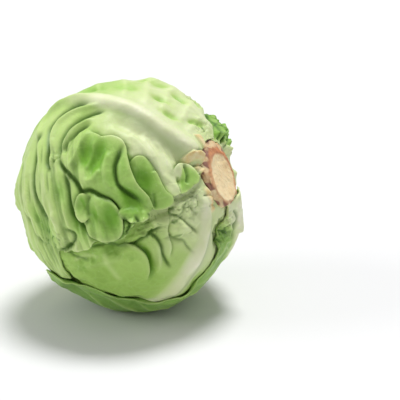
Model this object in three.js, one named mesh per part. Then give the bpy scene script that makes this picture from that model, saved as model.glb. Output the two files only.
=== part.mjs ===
// A head of green cabbage, as picked and trimmed, lying on its side with its cut stem turned to the right.
// Five wrapper leaves grow from the stem and fold over a dense heart of inner leaves.
// Millimetres, +Z up. The origin is on the small flat spot that the head rests on, under its middle.
//
// A place on the head is given as [polar, longitude] in degrees. Polar 0 is at the cut stem and 180 at the
// top of the head. Longitude 0 is the meridian that faces the viewer, and it grows upwards.
import * as THREE from "three";

// Driving dimensions
const HEAD_RADIUS = 82.5;
const STEM_SIDE_SHARE = 0.86; // the head is flatter along its stem axis, most of all on the stem's side
const TOP_SIDE_SHARE = 0.95;
const CENTRE_HEIGHT = 79; // lower than the radius, which leaves the small flat spot
const STEM_AIM = { azimuth: -22.4, elevation: 21.9 };
const VIEWER_AIM = { azimuth: -86.8, elevation: 18.8 };
const LEAF_THICKNESS = 1.6;
const LEAF_GAP = 1.1;
const BASE_RISE = 2.7; // how far the leaves climb the stump
const BASE_REACH = 34; // where that rise starts, in degrees from the stem
const UNDERLAP_START = 3; // how far past a leaf's margin the leaves below it stay pressed down
const UNDERLAP_RAMP = 0.24; // how fast they may rise again from there
const UNDERLAP_REACH = 40; // where the pressure of a margin ends
const PRESSED_ROUNDING = 1.5; // how softly a sheet bends where a leaf over it presses
const SOFTEST_FOLD = 3.4; // folds are widened by this, so that the facets can follow them
const EDGE_STEP = 2.2; // half the width of the step at an edge
const WAVER_HEIGHT = 0.5; // the slow unevenness of every sheet
const MARGIN_SHARE = 0.78; // how far out on a leaf its margin starts to wave
const WAVE_RATE = 2.6; // the pace of those waves
const END_WAVER = 2.2; // how far the far end of a leaf wanders, in degrees

const COLOURS = {
  leafGreen: { color: 0x9cc25a, roughness: 0.5 },
  paleGreen: { color: 0xc3d795, roughness: 0.5 },
  innerLeaf: { color: 0xdbe4b4, roughness: 0.55 },
  stemFlesh: { color: 0xe2c796, roughness: 0.7 },
};

// Frame of the head
const radians = THREE.MathUtils.degToRad;

function aim({ azimuth, elevation }) {
  const flat = Math.cos(radians(elevation));
  return new THREE.Vector3(
    flat * Math.cos(radians(azimuth)),
    flat * Math.sin(radians(azimuth)),
    Math.sin(radians(elevation)),
  );
}

const stemAxis = aim(STEM_AIM);
const facing = aim(VIEWER_AIM).projectOnPlane(stemAxis).normalize();
const upward = facing.clone().cross(stemAxis);
const headCentre = new THREE.Vector3(0, 0, CENTRE_HEIGHT);

// The unit vector from the centre of the head to a place on it.
function outward(polar, longitude) {
  const across = Math.sin(radians(polar));
  return new THREE.Vector3()
    .addScaledVector(stemAxis, Math.cos(radians(polar)))
    .addScaledVector(facing, across * Math.cos(radians(longitude)))
    .addScaledVector(upward, across * Math.sin(radians(longitude)));
}

function headRadius(polar) {
  const along = Math.cos(radians(polar));
  const share = along > 0 ? STEM_SIDE_SHARE : TOP_SIDE_SHARE;
  return HEAD_RADIUS / Math.hypot(Math.sin(radians(polar)), along / share);
}

// How far the floor lets a point go in a direction.
function floorRadius(direction) {
  return direction.z < -0.05 ? CENTRE_HEIGHT / -direction.z : Infinity;
}

// Small tools
const clamp = THREE.MathUtils.clamp;
const smoothstep = THREE.MathUtils.smoothstep;

// A smooth curve through [x, y] pairs, level past both ends.
function through(pairs, x) {
  const last = pairs.length - 1;
  if (x <= pairs[0][0]) return pairs[0][1];
  if (x >= pairs[last][0]) return pairs[last][1];
  const i = pairs.findIndex((pair) => pair[0] > x) - 1;
  const [x0, y0] = pairs[i];
  const [x1, y1] = pairs[i + 1];
  const before = pairs[Math.max(i - 1, 0)];
  const after = pairs[Math.min(i + 2, last)];
  const step = x1 - x0;
  const slope0 = (step * (y1 - before[1])) / (x1 - before[0]);
  const slope1 = (step * (after[1] - y0)) / (after[0] - x0);
  const t = (x - x0) / step;
  const t2 = t * t;
  const t3 = t2 * t;
  return (
    y0 * (2 * t3 - 3 * t2 + 1) +
    slope0 * (t3 - 2 * t2 + t) +
    y1 * (3 * t2 - 2 * t3) +
    slope1 * (t3 - t2)
  );
}

// The lower of two heights, rounded where they meet.
function roundedMin(a, b, round) {
  const h = Math.max(round - Math.abs(a - b), 0) / round;
  return Math.min(a, b) - (h * h * round) / 4;
}

// A slow waver of the surface, between about -1 and 1.
function waver(polar, longitude, seed) {
  const x = polar / 10;
  const y = longitude / 10;
  return (
    0.5 * Math.sin(1.3 * x + 0.7 * y + 2.1 * seed) +
    0.3 * Math.sin(2.3 * x - 1.9 * y + 1.3 * seed) +
    0.2 * Math.sin(3.7 * y + 0.9 * x + 0.7 * seed)
  );
}

// Folds. Each is [kind, height, width, places], in millimetres and degrees, along a smooth line on the head.
// A ridge stands out and a furrow goes in. At an edge the sheet on the left of the line, as seen from
// outside, lies over the one on the right.
function lineOf(places) {
  const curve = new THREE.CatmullRomCurve3(
    places.map(([polar, longitude]) => outward(polar, longitude)),
    false,
    "catmullrom",
    0.5,
  );
  return curve
    .getPoints(3 * (places.length - 1))
    .map((p) => p.setLength(HEAD_RADIUS));
}

// Signed distance from a line, positive on its left, and how far along it the nearest place is.
function fromLine(line, point) {
  let best = { gap: Infinity };
  for (let i = 0; i + 1 < line.length; i++) {
    const run = line[i + 1].clone().sub(line[i]);
    const share = clamp(
      point.clone().sub(line[i]).dot(run) / run.lengthSq(),
      0,
      1,
    );
    const nearest = line[i]
      .clone()
      .addScaledVector(run, share)
      .setLength(HEAD_RADIUS);
    const gap = nearest.distanceTo(point);
    if (gap < best.gap) {
      const side = Math.sign(
        line[i].clone().cross(line[i + 1]).dot(point) || 1,
      );
      best = { gap, side, along: (i + share) / (line.length - 1) };
    }
  }
  return best;
}

const bell = (x, width) => Math.exp(-((x / width) ** 2));

function foldHeight(fold, point) {
  const { kind, height, width, line } = fold;
  const { gap, side, along } = fromLine(line, point);
  const soft = Math.hypot(width, SOFTEST_FOLD);
  if (gap > 4 * soft) return 0;
  const fade = smoothstep(along, -0.02, 0.2) * smoothstep(1 - along, -0.02, 0.2);
  if (kind === "ridge") return fade * height * bell(gap, soft);
  if (kind === "furrow") return -fade * height * bell(gap, soft);
  const over = 0.5 * (1 + Math.tanh((side * gap) / EDGE_STEP));
  return (
    fade * height * (over * bell(gap, 2 * soft) - (1 - over) * bell(gap, soft))
  );
}

// The broad front blade of the top leaf, bunched into lobes against the head.
const TOP_LEAF_FOLDS = [
  ["ridge", 4.6, 14, [[20, 98], [34, 105], [46, 108], [60, 108], [76, 102]]],
  ["furrow", 3, 5.5, [[22, 14], [30, 21], [37, 27], [46, 34], [52, 38], [60, 42], [70, 46]]],
  ["edge", 2.4, 4, [[58, 10], [59, 15], [60, 20], [61, 25], [63, 30], [67, 32], [72, 33], [76, 38]]],
  ["furrow", 4.2, 1.6, [[62, 28], [64, 21], [66, 15], [65, 11], [63, 6], [60, 1], [58, -3]]],
  ["furrow", 2.4, 7, [[75, 30], [73, 22], [73, 13]]],
  ["ridge", 2.2, 3.2, [[65, 31], [66, 21], [70, 15], [80, 12]]],
  ["ridge", 3.4, 3.5, [[76, 38], [79, 31], [82, 26], [84, 22], [88, 20]]],
  ["furrow", 4, 2.4, [[93, 30], [91, 25], [88, 18], [87, 10], [90, 3], [89, -4], [86, -10], [82, -15]]],
  ["furrow", 4.6, 2.2, [[90, 52], [99, 48], [101, 43], [100, 36], [98, 31], [100, 24]]],
  ["ridge", 3.2, 3, [[74, 55], [82, 54], [88, 49], [92, 41], [95, 35], [96, 28]]],
  ["furrow", 2.6, 2.6, [[76, 51], [83, 46], [88, 41], [92, 33]]],
  ["ridge", 1.6, 4, [[104, 52], [105, 42], [105, 33], [103, 22], [101, 12], [98, 4]]],
  ["furrow", 3.6, 2.5, [[107, 46], [108, 35], [110, 27], [111, 19], [109, 10], [105, 0]]],
  ["furrow", 2.4, 2.2, [[122, 44], [128, 34], [131, 24], [129, 12]]],
  ["ridge", 1.6, 4, [[116, 44], [118, 30], [119, 14], [116, 0], [110, -9]]],
  ["edge", 2.2, 3, [
    [85, 7], [87, 2], [86, -4], [82, -6], [81, -10], [79, -15], [76, -17], [72, -17], [69, -13],
    [69, -8], [71, -2], [75, 5],
  ]],
  ["edge", 2, 3, [[74, 3], [70, -2], [68, -7], [64, -10], [59, -11], [54, -12]]],
  ["edge", 2.2, 3, [
    [53, -10], [49, -13], [43, -13], [41, -9], [42, -5], [44, 2], [46, 10], [48, 15], [50, 20],
    [53, 20], [56, 19], [59, 18],
  ]],
  ["ridge", 2.4, 4.5, [[43, 27], [40, 18], [39, 8], [37, -2]]],
  ["edge", 1.8, 2.5, [
    [46, -2], [42, -6], [37, -9], [32, -7], [28, -5], [25, -1], [25, 8], [27, 15], [31, 15], [33, 11],
  ]],
  ["furrow", 3, 2, [[98, -5], [94, -8], [93, -12], [96, -15], [100, -15]]],
  ["ridge", 1.4, 2.4, [[37, 60], [36, 76], [40, 96], [46, 112]]],
  ["ridge", 1.2, 2.2, [[30, 60], [29, 78], [31, 98]]],
  ["ridge", 1.5, 2.6, [[45, 60], [46, 74], [52, 94], [60, 116]]],
  ["ridge", 1.5, 2.8, [[54, 62], [57, 76], [65, 95], [74, 116]]],
  ["ridge", 1.4, 2.8, [[65, 62], [69, 77], [78, 94], [88, 112]]],
  ["ridge", 1.2, 2.6, [[78, 64], [84, 78], [93, 92], [103, 108]]],
];

// The lower leaf shows smooth and slack under the lobes, and blistered between the veins beside its midrib.
const LOWER_LEAF_FOLDS = [
  ["furrow", 2, 2, [[90, -17], [83, -20], [78, -23], [72, -25]]],
  ["furrow", 1.6, 1.8, [[83, -16], [80, -18], [76, -21], [70, -24]]],
  ["furrow", 2, 2, [[107, -16], [104, -21], [104, -25], [107, -30]]],
  ["ridge", 1.2, 2.4, [[88, -22], [85, -26], [84, -31], [85, -37], [87, -44]]],
  ["furrow", 2.8, 2.4, [[60, -23], [61, -29], [62, -34], [64, -40], [67, -46]]],
  ["ridge", 1.8, 3, [[54, -22], [55, -28], [56, -35], [60, -42], [64, -48]]],
  ["furrow", 2.2, 2, [[49, -17], [50, -23], [51, -29], [54, -37], [56, -46]]],
  ["furrow", 1.6, 2, [[32, -46], [33, -36], [35, -27], [34, -18]]],
  ["furrow", 1.6, 2, [[39, -54], [39, -40], [41, -29], [40, -18]]],
  ["furrow", 1.6, 2, [[46, -54], [46, -39], [48, -27]]],
  ["furrow", 1.4, 2, [[33, -30], [40, -32], [47, -34]]],
  ["furrow", 2.4, 1.8, [[24, -82], [29, -88], [35, -86], [41, -92]]],
  ["furrow", 2, 1.8, [[22, -92], [27, -100], [34, -98], [40, -104]]],
];

// The back leaf bulges and crumples beside the stem.
const BACK_LEAF_FOLDS = [
  ["ridge", 7, 12, [[16, 140], [28, 136], [40, 131], [52, 126], [66, 122]]],
  ["furrow", 2.2, 1.4, [[18, 126], [26, 129], [34, 126], [44, 120]]],
  ["furrow", 2.2, 1.4, [[18, 142], [27, 145], [36, 142], [48, 136]]],
];

// Side veins, from the midrib to both margins.
function veinFolds({ midrib, low, high, veins }) {
  const folds = [];
  for (let i = 0; i < veins.count; i++) {
    const start = veins.first + i * veins.step;
    for (const margin of [low, high]) {
      const places = [0.06, 0.35, 0.65, 0.92].map((share) => {
        const polar = start + veins.sweep * share ** 1.3;
        const middle = through(midrib, start + 4 * share);
        return [polar, middle + share * (through(margin, polar) - middle)];
      });
      folds.push(["ridge", veins.height, veins.width, places]);
    }
  }
  return folds;
}

// All the folds of a leaf, with their lines worked out.
function foldLines(leaf) {
  const all = [...leaf.folds, ...(leaf.veins ? veinFolds(leaf) : [])];
  return all.map(([kind, height, width, places]) => ({ kind, height, width, line: lineOf(places) }));
}

// The wrapper leaves, outermost first. Midrib and margins are [polar, longitude] pairs, and level is how far
// the sheet lies under the head's outline. The bunch is how strongly the margins wave, in waves around them.
const LEAVES = [
  {
    name: "wrapper_leaf_under",
    colour: "leafGreen",
    level: 0.4,
    start: 18.6,
    end: 143,
    corner: { back: 26, power: 9 },
    midrib: [[20, -120], [60, -124], [100, -126], [150, -122]],
    low: [[20, -146], [30, -154], [45, -168], [60, -180], [100, -192], [150, -185]],
    high: [
      [20, -88], [40, -86], [60, -78], [74, -69], [85, -58], [92, -50], [96, -45], [101, -38],
      [106, -33], [113, -29], [117, -24], [122, -17], [129, -9], [150, 4],
    ],
    rib: { height: 5.4, width: 8 },
    veins: { count: 6, first: 32, step: 13, sweep: 24, height: 1.1, width: 2.6 },
    folds: [],
    bunch: { height: 1.4, waves: 5, lift: 0.4 },
    grid: { rows: 22, low: 11, high: 14 },
  },
  {
    name: "wrapper_leaf_top",
    colour: "leafGreen",
    level: 0.6,
    start: 18.6,
    end: 141,
    corner: { back: 22, power: 3 },
    midrib: [
      [18, 36], [24, 40], [30, 42], [37, 45], [43, 48], [50, 52], [58, 55], [68, 57],
      [80, 60], [100, 64], [115, 64], [150, 60],
    ],
    low: [
      [21, -1], [26, -5], [30, -8], [38, -9], [45, -12], [52, -12], [58, -13], [64, -15], [70, -19],
      [77, -19], [83, -16], [87, -18], [95, -18], [100, -17], [102, -19], [104, -26], [107, -33],
      [113, -37], [125, -38], [150, -44],
    ],
    high: [[20, 104], [28, 111], [37, 115], [48, 124], [60, 132], [80, 136], [110, 136], [150, 130]],
    rib: { height: 6, width: 8.5 },
    veins: null,
    folds: TOP_LEAF_FOLDS,
    bunch: { height: 1.3, waves: 6, lift: 0.8 },
    grid: { rows: 40, low: 27, high: 12 },
  },
  {
    name: "wrapper_leaf_lower",
    colour: "paleGreen",
    level: 1,
    start: 19,
    end: 132,
    corner: { back: 22, power: 3 },
    midrib: [
      [20, -34], [25, -39], [28, -49], [32, -58], [37, -63], [45, -66], [60, -68], [90, -70],
      [150, -72],
    ],
    low: [[20, -104], [35, -122], [60, -134], [90, -138], [150, -138]],
    high: [[20, 4], [40, 8], [80, 8], [110, 4], [150, 0]],
    rib: { height: 5, width: 7.5 },
    veins: null,
    folds: LOWER_LEAF_FOLDS,
    bunch: { height: 1, waves: 5, lift: 0.4 },
    grid: { rows: 20, low: 9, high: 14 },
  },
  {
    name: "wrapper_leaf_back",
    colour: "leafGreen",
    level: 1,
    start: 19,
    end: 138,
    corner: { back: 22, power: 3 },
    midrib: [[20, 198], [35, 190], [60, 180], [100, 174], [150, 172]],
    low: [[20, 104], [40, 100], [80, 96], [150, 100]],
    high: [[20, 222], [40, 230], [80, 234], [150, 226]],
    rib: { height: 6.6, width: 7.5 },
    veins: { count: 6, first: 30, step: 14, sweep: 24, height: 1.3, width: 2.6 },
    folds: BACK_LEAF_FOLDS,
    bunch: { height: 1.2, waves: 5, lift: 0.4 },
    grid: { rows: 22, low: 14, high: 7 },
  },
  {
    name: "wrapper_leaf_front",
    colour: "paleGreen",
    level: 2.6,
    start: 20,
    end: 163,
    corner: { back: 22, power: 3 },
    midrib: [[20, 6], [90, 6], [150, 10], [170, 14]],
    low: [[20, -26], [50, -50], [100, -62], [140, -74], [170, -80]],
    high: [[20, 40], [50, 66], [100, 76], [140, 88], [170, 92]],
    rib: { height: 3.6, width: 6.5 },
    veins: { count: 5, first: 40, step: 20, sweep: 22, height: 0.9, width: 2.6 },
    folds: [],
    bunch: { height: 0.8, waves: 4, lift: 0.2 },
    grid: { rows: 16, low: 7, high: 7 },
  },
];

// The heart's own leaves overlap round the top of the head in a few curved edges.
const HEART = {
  name: "heart",
  colour: "innerLeaf",
  level: 3.6,
  start: 0,
  end: 200,
  corner: { back: 0, power: 1 },
  midrib: [[0, 0]],
  low: [[0, -180]],
  high: [[0, 180]],
  rib: null,
  veins: null,
  bunch: { height: 0, waves: 0, lift: 0 },
  rows: 19,
  rimPolar: 18.5, // the rim of the stem's socket
  footPolar: 26, // the heart stays under the stump up to here
  footGap: 1.4,
  folds: [
    ["edge", 1.3, 4, [[118, 150], [132, 128], [146, 112], [160, 86], [170, 20], [166, -60]]],
    ["edge", 1.2, 4, [[122, 236], [136, 222], [150, 206], [163, 170], [172, 110]]],
    ["edge", 1.2, 4, [[124, -16], [138, -28], [152, -44], [164, -80], [172, -140]]],
    ["ridge", 1.2, 3, [[112, 186], [128, 184], [144, 178], [160, 166], [172, 140]]],
    ["ridge", 1, 2.6, [[120, -74], [138, -84], [156, -98], [168, -120]]],
    ["ridge", 1, 2.6, [[124, 40], [140, 34], [156, 24], [168, 0]]],
  ],
};

// The stem: a cut stump ringed by the scars of older leaves, and the tapering core that it runs into.
const STEM = {
  name: "stem",
  colour: "stemFlesh",
  sectors: 30,
  cutHeight: 74.5, // along the stem axis, from the middle of the head
  cutRadii: [20.5, 18.5], // the cut is a little oval
  profile: [
    // height along the stem axis, share of the oval
    [74.6, 0.5], [74.9, 0.88], [74, 0.98], [72.4, 1.03], [70, 1.07], [67.4, 1.1], [64.6, 1.08],
    [62.2, 1.02], [60.6, 0.9],
  ],
  widest: 22.3, // the bases of the leaves start just outside this
  lean: { facing: 0.4, upward: -2.4, from: 69 }, // the stump bends down a little towards its cut
  core: [[59, 15], [48, 13.5], [34, 10.5], [22, 6.5]],
  coreTip: 18,
  socketGap: 0.7,
};
const SCARS = [
  // angle round the stem, height along it, how far it stands out, half-width in degrees, half-height
  [8, 68, 1.6, 15, 2.6],
  [42, 70, 2.2, 13, 2.4],
  [66, 66, 1.4, 12, 2.4],
  [98, 69, 1.6, 15, 2.8],
  [136, 67, 1.5, 13, 2.6],
  [172, 70, 1.4, 12, 2.6],
  [206, 67, 2.2, 14, 3],
  [236, 69, 2.6, 13, 3.2],
  [268, 66, 2, 13, 2.6],
  [300, 69, 2, 14, 2.8],
  [334, 66.5, 2, 13, 2.6],
];

// Leaf domain. Across a leaf, q runs from -1 at its low margin through 0 on the midrib to 1 at its high
// margin, and s from 0 at the stem to 1 at the far end, which curves back towards the margins.
function leafEnd(leaf, q) {
  const turnBack = leaf.corner.back * Math.abs(q) ** leaf.corner.power;
  return leaf.end - turnBack + END_WAVER * Math.sin(leaf.bunch.waves * q + leaf.end);
}

function leafPlace(leaf, s, q) {
  const polar = leaf.start + s * (leafEnd(leaf, q) - leaf.start);
  const middle = through(leaf.midrib, polar);
  const margin = through(q < 0 ? leaf.low : leaf.high, polar);
  return [polar, middle + Math.abs(q) * (margin - middle)];
}

function leafShares(leaf, polar, longitude) {
  const middle = through(leaf.midrib, polar);
  let away = longitude - middle;
  away -= 360 * Math.round(away / 360);
  const margin = through(away < 0 ? leaf.low : leaf.high, polar);
  const q = (Math.sign(away) * Math.abs(away)) / Math.abs(margin - middle);
  const end = leafEnd(leaf, clamp(q, -1, 1));
  return { q, s: (polar - leaf.start) / (end - leaf.start), away, end };
}

// How far a place lies outside a leaf's outline, in millimetres along the head, and 0 inside it.
function outsideLeaf(leaf, polar, longitude) {
  const { q, s, away, end } = leafShares(leaf, polar, longitude);
  const perDegree = radians(HEAD_RADIUS);
  const sideways =
    Math.abs(q) > 1
      ? Math.abs(away) * (1 - 1 / Math.abs(q)) * perDegree * Math.sin(radians(polar))
      : 0;
  const beyond = Math.max(s - 1, 0) * (end - leaf.start) * perDegree;
  const before = Math.max(leaf.start - UNDERLAP_START - polar, 0) * perDegree;
  return Math.max(sideways, beyond, before);
}

// The midrib rises from the stump and fades towards the far end. These are its shares by polar angle.
const RIB_FADE = [[18, 0.35], [28, 0.95], [40, 0.86], [70, 0.62], [100, 0.36], [135, 0.1]];

function ribHeight(leaf, polar, longitude) {
  const { away } = leafShares(leaf, polar, longitude);
  const fade = through(RIB_FADE, polar);
  const width = leaf.rib.width * (0.45 + 0.55 * fade);
  const across = Math.abs(away) * radians(HEAD_RADIUS) * Math.sin(radians(polar));
  return leaf.rib.height * fade * Math.exp(-((across / width) ** 2.4));
}

// The sheet's own height, before the leaves over it press it down.
function freeRadius(leaf, polar, longitude) {
  const point = outward(polar, longitude).multiplyScalar(HEAD_RADIUS);
  const { q, s } = leafShares(leaf, polar, longitude);
  const margin = clamp(Math.max(Math.abs(q), s), 0, 1.05);
  const nearMargin = smoothstep(margin, MARGIN_SHARE, 1);
  const round = leaf.bunch.waves * (Math.abs(q) > s ? 2 * s : q);
  const wave = leaf.bunch.height * Math.sin(WAVE_RATE * round + leaf.level);
  const climb = leaf.rib ? BASE_RISE * (1 - smoothstep(polar, leaf.start, BASE_REACH)) : 0;
  const folds = leaf.lines.reduce((sum, fold) => sum + foldHeight(fold, point), 0);
  return (
    headRadius(polar) -
    leaf.level +
    climb +
    folds +
    WAVER_HEIGHT * waver(polar, longitude, leaf.end) +
    nearMargin * (wave + leaf.bunch.lift)
  );
}

// A map of how far out a sheet may lie, in steps round the head. It starts at the floor, and each leaf
// lowers it for the ones inside it.
const POLAR_STEP = 2;
const LONGITUDE_STEP = 3;
const ROWS = 180 / POLAR_STEP + 1;
const COLUMNS = 360 / LONGITUDE_STEP;
const MAP_REACH = 2; // cells on each side that a leaf's inner face is lowered over

const limit = Array.from({ length: ROWS }, (_, i) =>
  Array.from({ length: COLUMNS }, (_, j) =>
    floorRadius(outward(i * POLAR_STEP, j * LONGITUDE_STEP)),
  ),
);

const wrapped = (j) => ((j % COLUMNS) + COLUMNS) % COLUMNS;

function limitAt(polar, longitude) {
  const y = clamp(polar / POLAR_STEP, 0, ROWS - 1.001);
  const x = longitude / LONGITUDE_STEP;
  const i = Math.floor(y);
  const j = Math.floor(x);
  const [v, u] = [y - i, x - j];
  const row = (r) =>
    limit[r][wrapped(j)] * (1 - u) + limit[r][wrapped(j + 1)] * u;
  return row(i) * (1 - v) + row(i + 1) * v;
}

// The outer face of a sheet, without its midrib.
function sheetRadius(leaf, polar, longitude) {
  const free = freeRadius(leaf, polar, longitude);
  const room = limitAt(polar, longitude) - (leaf.rib ? ribHeight(leaf, polar, longitude) : 0);
  const floor = floorRadius(outward(polar, longitude));
  return Math.min(Number.isFinite(room) ? roundedMin(free, room, PRESSED_ROUNDING) : free, floor);
}

// Lowers the map under a leaf, and by less and less past its margins.
function pressDown(leaf) {
  const inner = limit.map((line, i) =>
    line.map((_, j) => {
      const [polar, longitude] = [i * POLAR_STEP, j * LONGITUDE_STEP];
      const past = outsideLeaf(leaf, polar, longitude);
      if (past > UNDERLAP_REACH) return Infinity;
      const face = sheetRadius(leaf, polar, longitude);
      const rise = UNDERLAP_RAMP * Math.max(past - UNDERLAP_START, 0);
      return face - LEAF_THICKNESS - LEAF_GAP + rise;
    }),
  );
  limit.forEach((line, i) =>
    line.forEach((own, j) => {
      const round = Math.max(Math.sin(radians(i * POLAR_STEP)), 0.05);
      const spread = Math.min(COLUMNS / 4, Math.ceil((MAP_REACH * POLAR_STEP) / LONGITUDE_STEP / round));
      let lowest = own;
      for (let a = -MAP_REACH; a <= MAP_REACH; a++) {
        const near = inner[clamp(i + a, 0, ROWS - 1)];
        for (let b = -spread; b <= spread; b++)
          lowest = Math.min(lowest, near[wrapped(j + b)]);
      }
      line[j] = lowest;
    }),
  );
}

// Collects points and the triangles between them.
class Faces {
  points = [];
  index = [];
  add(point) {
    return this.points.push(point) - 1;
  }
  quad(a, b, c, d, flip = false) {
    this.index.push(...(flip ? [a, b, d, b, c, d] : [a, b, c, a, c, d]));
  }
  geometry() {
    const made = new THREE.BufferGeometry().setFromPoints(this.points);
    made.setIndex(this.index);
    made.computeVertexNormals();
    return made;
  }
}

// A sheet with an outer and an inner face, split into triangles alike, and a rim round its margins.
function sheetGeometry(outer, inner) {
  const faces = new Faces();
  const top = outer.map((row) => row.map((p) => faces.add(p)));
  const base = inner.map((row) => row.map((p) => faces.add(p)));
  const rows = outer.length - 1;
  const columns = outer[0].length - 1;
  for (let i = 0; i < rows; i++)
    for (let j = 0; j < columns; j++) {
      const falling = outer[i][j].distanceTo(outer[i + 1][j + 1]);
      const rising = outer[i][j + 1].distanceTo(outer[i + 1][j]);
      const flip = rising < falling;
      faces.quad(top[i][j], top[i][j + 1], top[i + 1][j + 1], top[i + 1][j], flip);
      faces.quad(base[i][j], base[i + 1][j], base[i + 1][j + 1], base[i][j + 1], flip);
    }
  for (let j = 0; j < columns; j++) {
    faces.quad(top[0][j + 1], top[0][j], base[0][j], base[0][j + 1]);
    faces.quad(top[rows][j], top[rows][j + 1], base[rows][j + 1], base[rows][j]);
  }
  for (let i = 0; i < rows; i++) {
    faces.quad(top[i][0], top[i + 1][0], base[i + 1][0], base[i][0]);
    faces.quad(top[i + 1][columns], top[i][columns], base[i][columns], base[i + 1][columns]);
  }
  return faces.geometry();
}

// Rings of points round the stem axis, closed by a point at each end.
function ringGeometry(first, rings, last) {
  const faces = new Faces();
  const start = faces.add(first);
  const made = rings.map((ring) => ring.map((p) => faces.add(p)));
  const end = faces.add(last);
  const count = rings[0].length;
  for (let j = 0; j < count; j++) {
    const next = (j + 1) % count;
    faces.index.push(start, made[0][next], made[0][j]);
    for (let i = 0; i + 1 < made.length; i++)
      faces.quad(made[i][j], made[i][next], made[i + 1][next], made[i + 1][j]);
    faces.index.push(made.at(-1)[j], made.at(-1)[next], end);
  }
  return faces.geometry();
}

function placed(polar, longitude, radius) {
  const point = outward(polar, longitude).multiplyScalar(radius).add(headCentre);
  if (Math.abs(point.z) < 1e-4) point.z = 0; // the flat spot is exactly level
  return point;
}

function meshOf(name, colour, geometry) {
  const material = new THREE.MeshStandardMaterial({ ...COLOURS[colour], metalness: 0 });
  const mesh = new THREE.Mesh(geometry, material);
  mesh.name = name;
  return mesh;
}

function leafMesh(leaf) {
  const { rows, low, high } = leaf.grid;
  const columns = low + high;
  const outer = [];
  const inner = [];
  for (let i = 0; i <= rows; i++) {
    outer.push([]);
    inner.push([]);
    for (let j = 0; j <= columns; j++) {
      const across = j < low ? j / low - 1 : (j - low) / high;
      const [polar, longitude] = leafPlace(leaf, i / rows, across);
      const face = sheetRadius(leaf, polar, longitude);
      const floor = floorRadius(outward(polar, longitude));
      const ribbed = Math.min(face + ribHeight(leaf, polar, longitude), floor);
      outer[i].push(placed(polar, longitude, ribbed));
      inner[i].push(placed(polar, longitude, face - LEAF_THICKNESS));
    }
  }
  return meshOf(leaf.name, leaf.colour, sheetGeometry(outer, inner));
}

// A ring of points round the stem axis, at a height along it.
function stemRing(height, radiusAt) {
  const { lean } = STEM;
  const bend = Math.max((height - lean.from) / (STEM.cutHeight - lean.from), 0);
  return Array.from({ length: STEM.sectors }, (_, j) => {
    const longitude = (360 * j) / STEM.sectors;
    const radius = radiusAt(longitude);
    return new THREE.Vector3()
      .addScaledVector(stemAxis, height)
      .addScaledVector(facing, radius * Math.cos(radians(longitude)) + bend * lean.facing)
      .addScaledVector(upward, radius * Math.sin(radians(longitude)) + bend * lean.upward)
      .add(headCentre);
  });
}

function onAxis(height, bend = 0) {
  return stemAxis
    .clone()
    .multiplyScalar(height)
    .addScaledVector(facing, bend * STEM.lean.facing)
    .addScaledVector(upward, bend * STEM.lean.upward)
    .add(headCentre);
}

function scarHeight(longitude, height) {
  return SCARS.reduce((sum, [angle, level, stand, halfAngle, halfHeight]) => {
    let away = longitude - angle;
    away -= 360 * Math.round(away / 360);
    return sum + stand * bell(away, halfAngle) * bell(height - level, halfHeight);
  }, 0);
}

function stemMesh() {
  const [wide, narrow] = STEM.cutRadii;
  const stump = STEM.profile.map(([height, share]) =>
    stemRing(height, (longitude) => {
      const oval = Math.hypot(
        narrow * Math.cos(radians(longitude)),
        wide * Math.sin(radians(longitude)),
      );
      const turn = radians(longitude);
      const ragged = 0.35 * Math.sin(5 * turn + 1) + 0.3 * Math.sin(8 * turn);
      return Math.min((oval + ragged) * share + scarHeight(longitude, height), STEM.widest);
    }),
  );
  const core = STEM.core.map(([height, radius]) => stemRing(height, () => radius));
  return meshOf(
    STEM.name,
    STEM.colour,
    ringGeometry(onAxis(STEM.cutHeight, 1), [...stump, ...core], onAxis(STEM.coreTip)),
  );
}

// The heart has a socket for the stem's core. Its rim lies under the stump.
function heartMesh() {
  const { rows, rimPolar, footPolar, footGap } = HEART;
  const footHeight = STEM.profile.at(-1)[0] - footGap;
  const socket = [...STEM.core]
    .reverse()
    .map(([height, radius]) => stemRing(height, () => radius + STEM.socketGap));
  const outer = [];
  for (let i = 0; i < rows; i++) {
    const polar = rimPolar + ((180 - rimPolar) * i) / rows;
    outer.push(
      Array.from({ length: STEM.sectors }, (_, j) => {
        const longitude = (360 * j) / STEM.sectors;
        const reach = polar < footPolar ? footHeight / Math.cos(radians(polar)) : Infinity;
        return placed(polar, longitude, Math.min(sheetRadius(HEART, polar, longitude), reach));
      }),
    );
  }
  const far = placed(180, 0, sheetRadius(HEART, 180, 0));
  return meshOf(
    HEART.name,
    HEART.colour,
    ringGeometry(onAxis(STEM.coreTip - 2), [...socket, ...outer], far),
  );
}

const cabbage = new THREE.Group();
for (const leaf of LEAVES) {
  leaf.lines = foldLines(leaf);
  cabbage.add(leafMesh(leaf));
  pressDown(leaf);
}
HEART.lines = foldLines(HEART);
cabbage.add(heartMesh());
cabbage.add(stemMesh());

export default cabbage;
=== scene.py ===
"""A head of green cabbage on its side: five wrapper leaves over a dense heart, and a cut stem."""

import math

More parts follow.
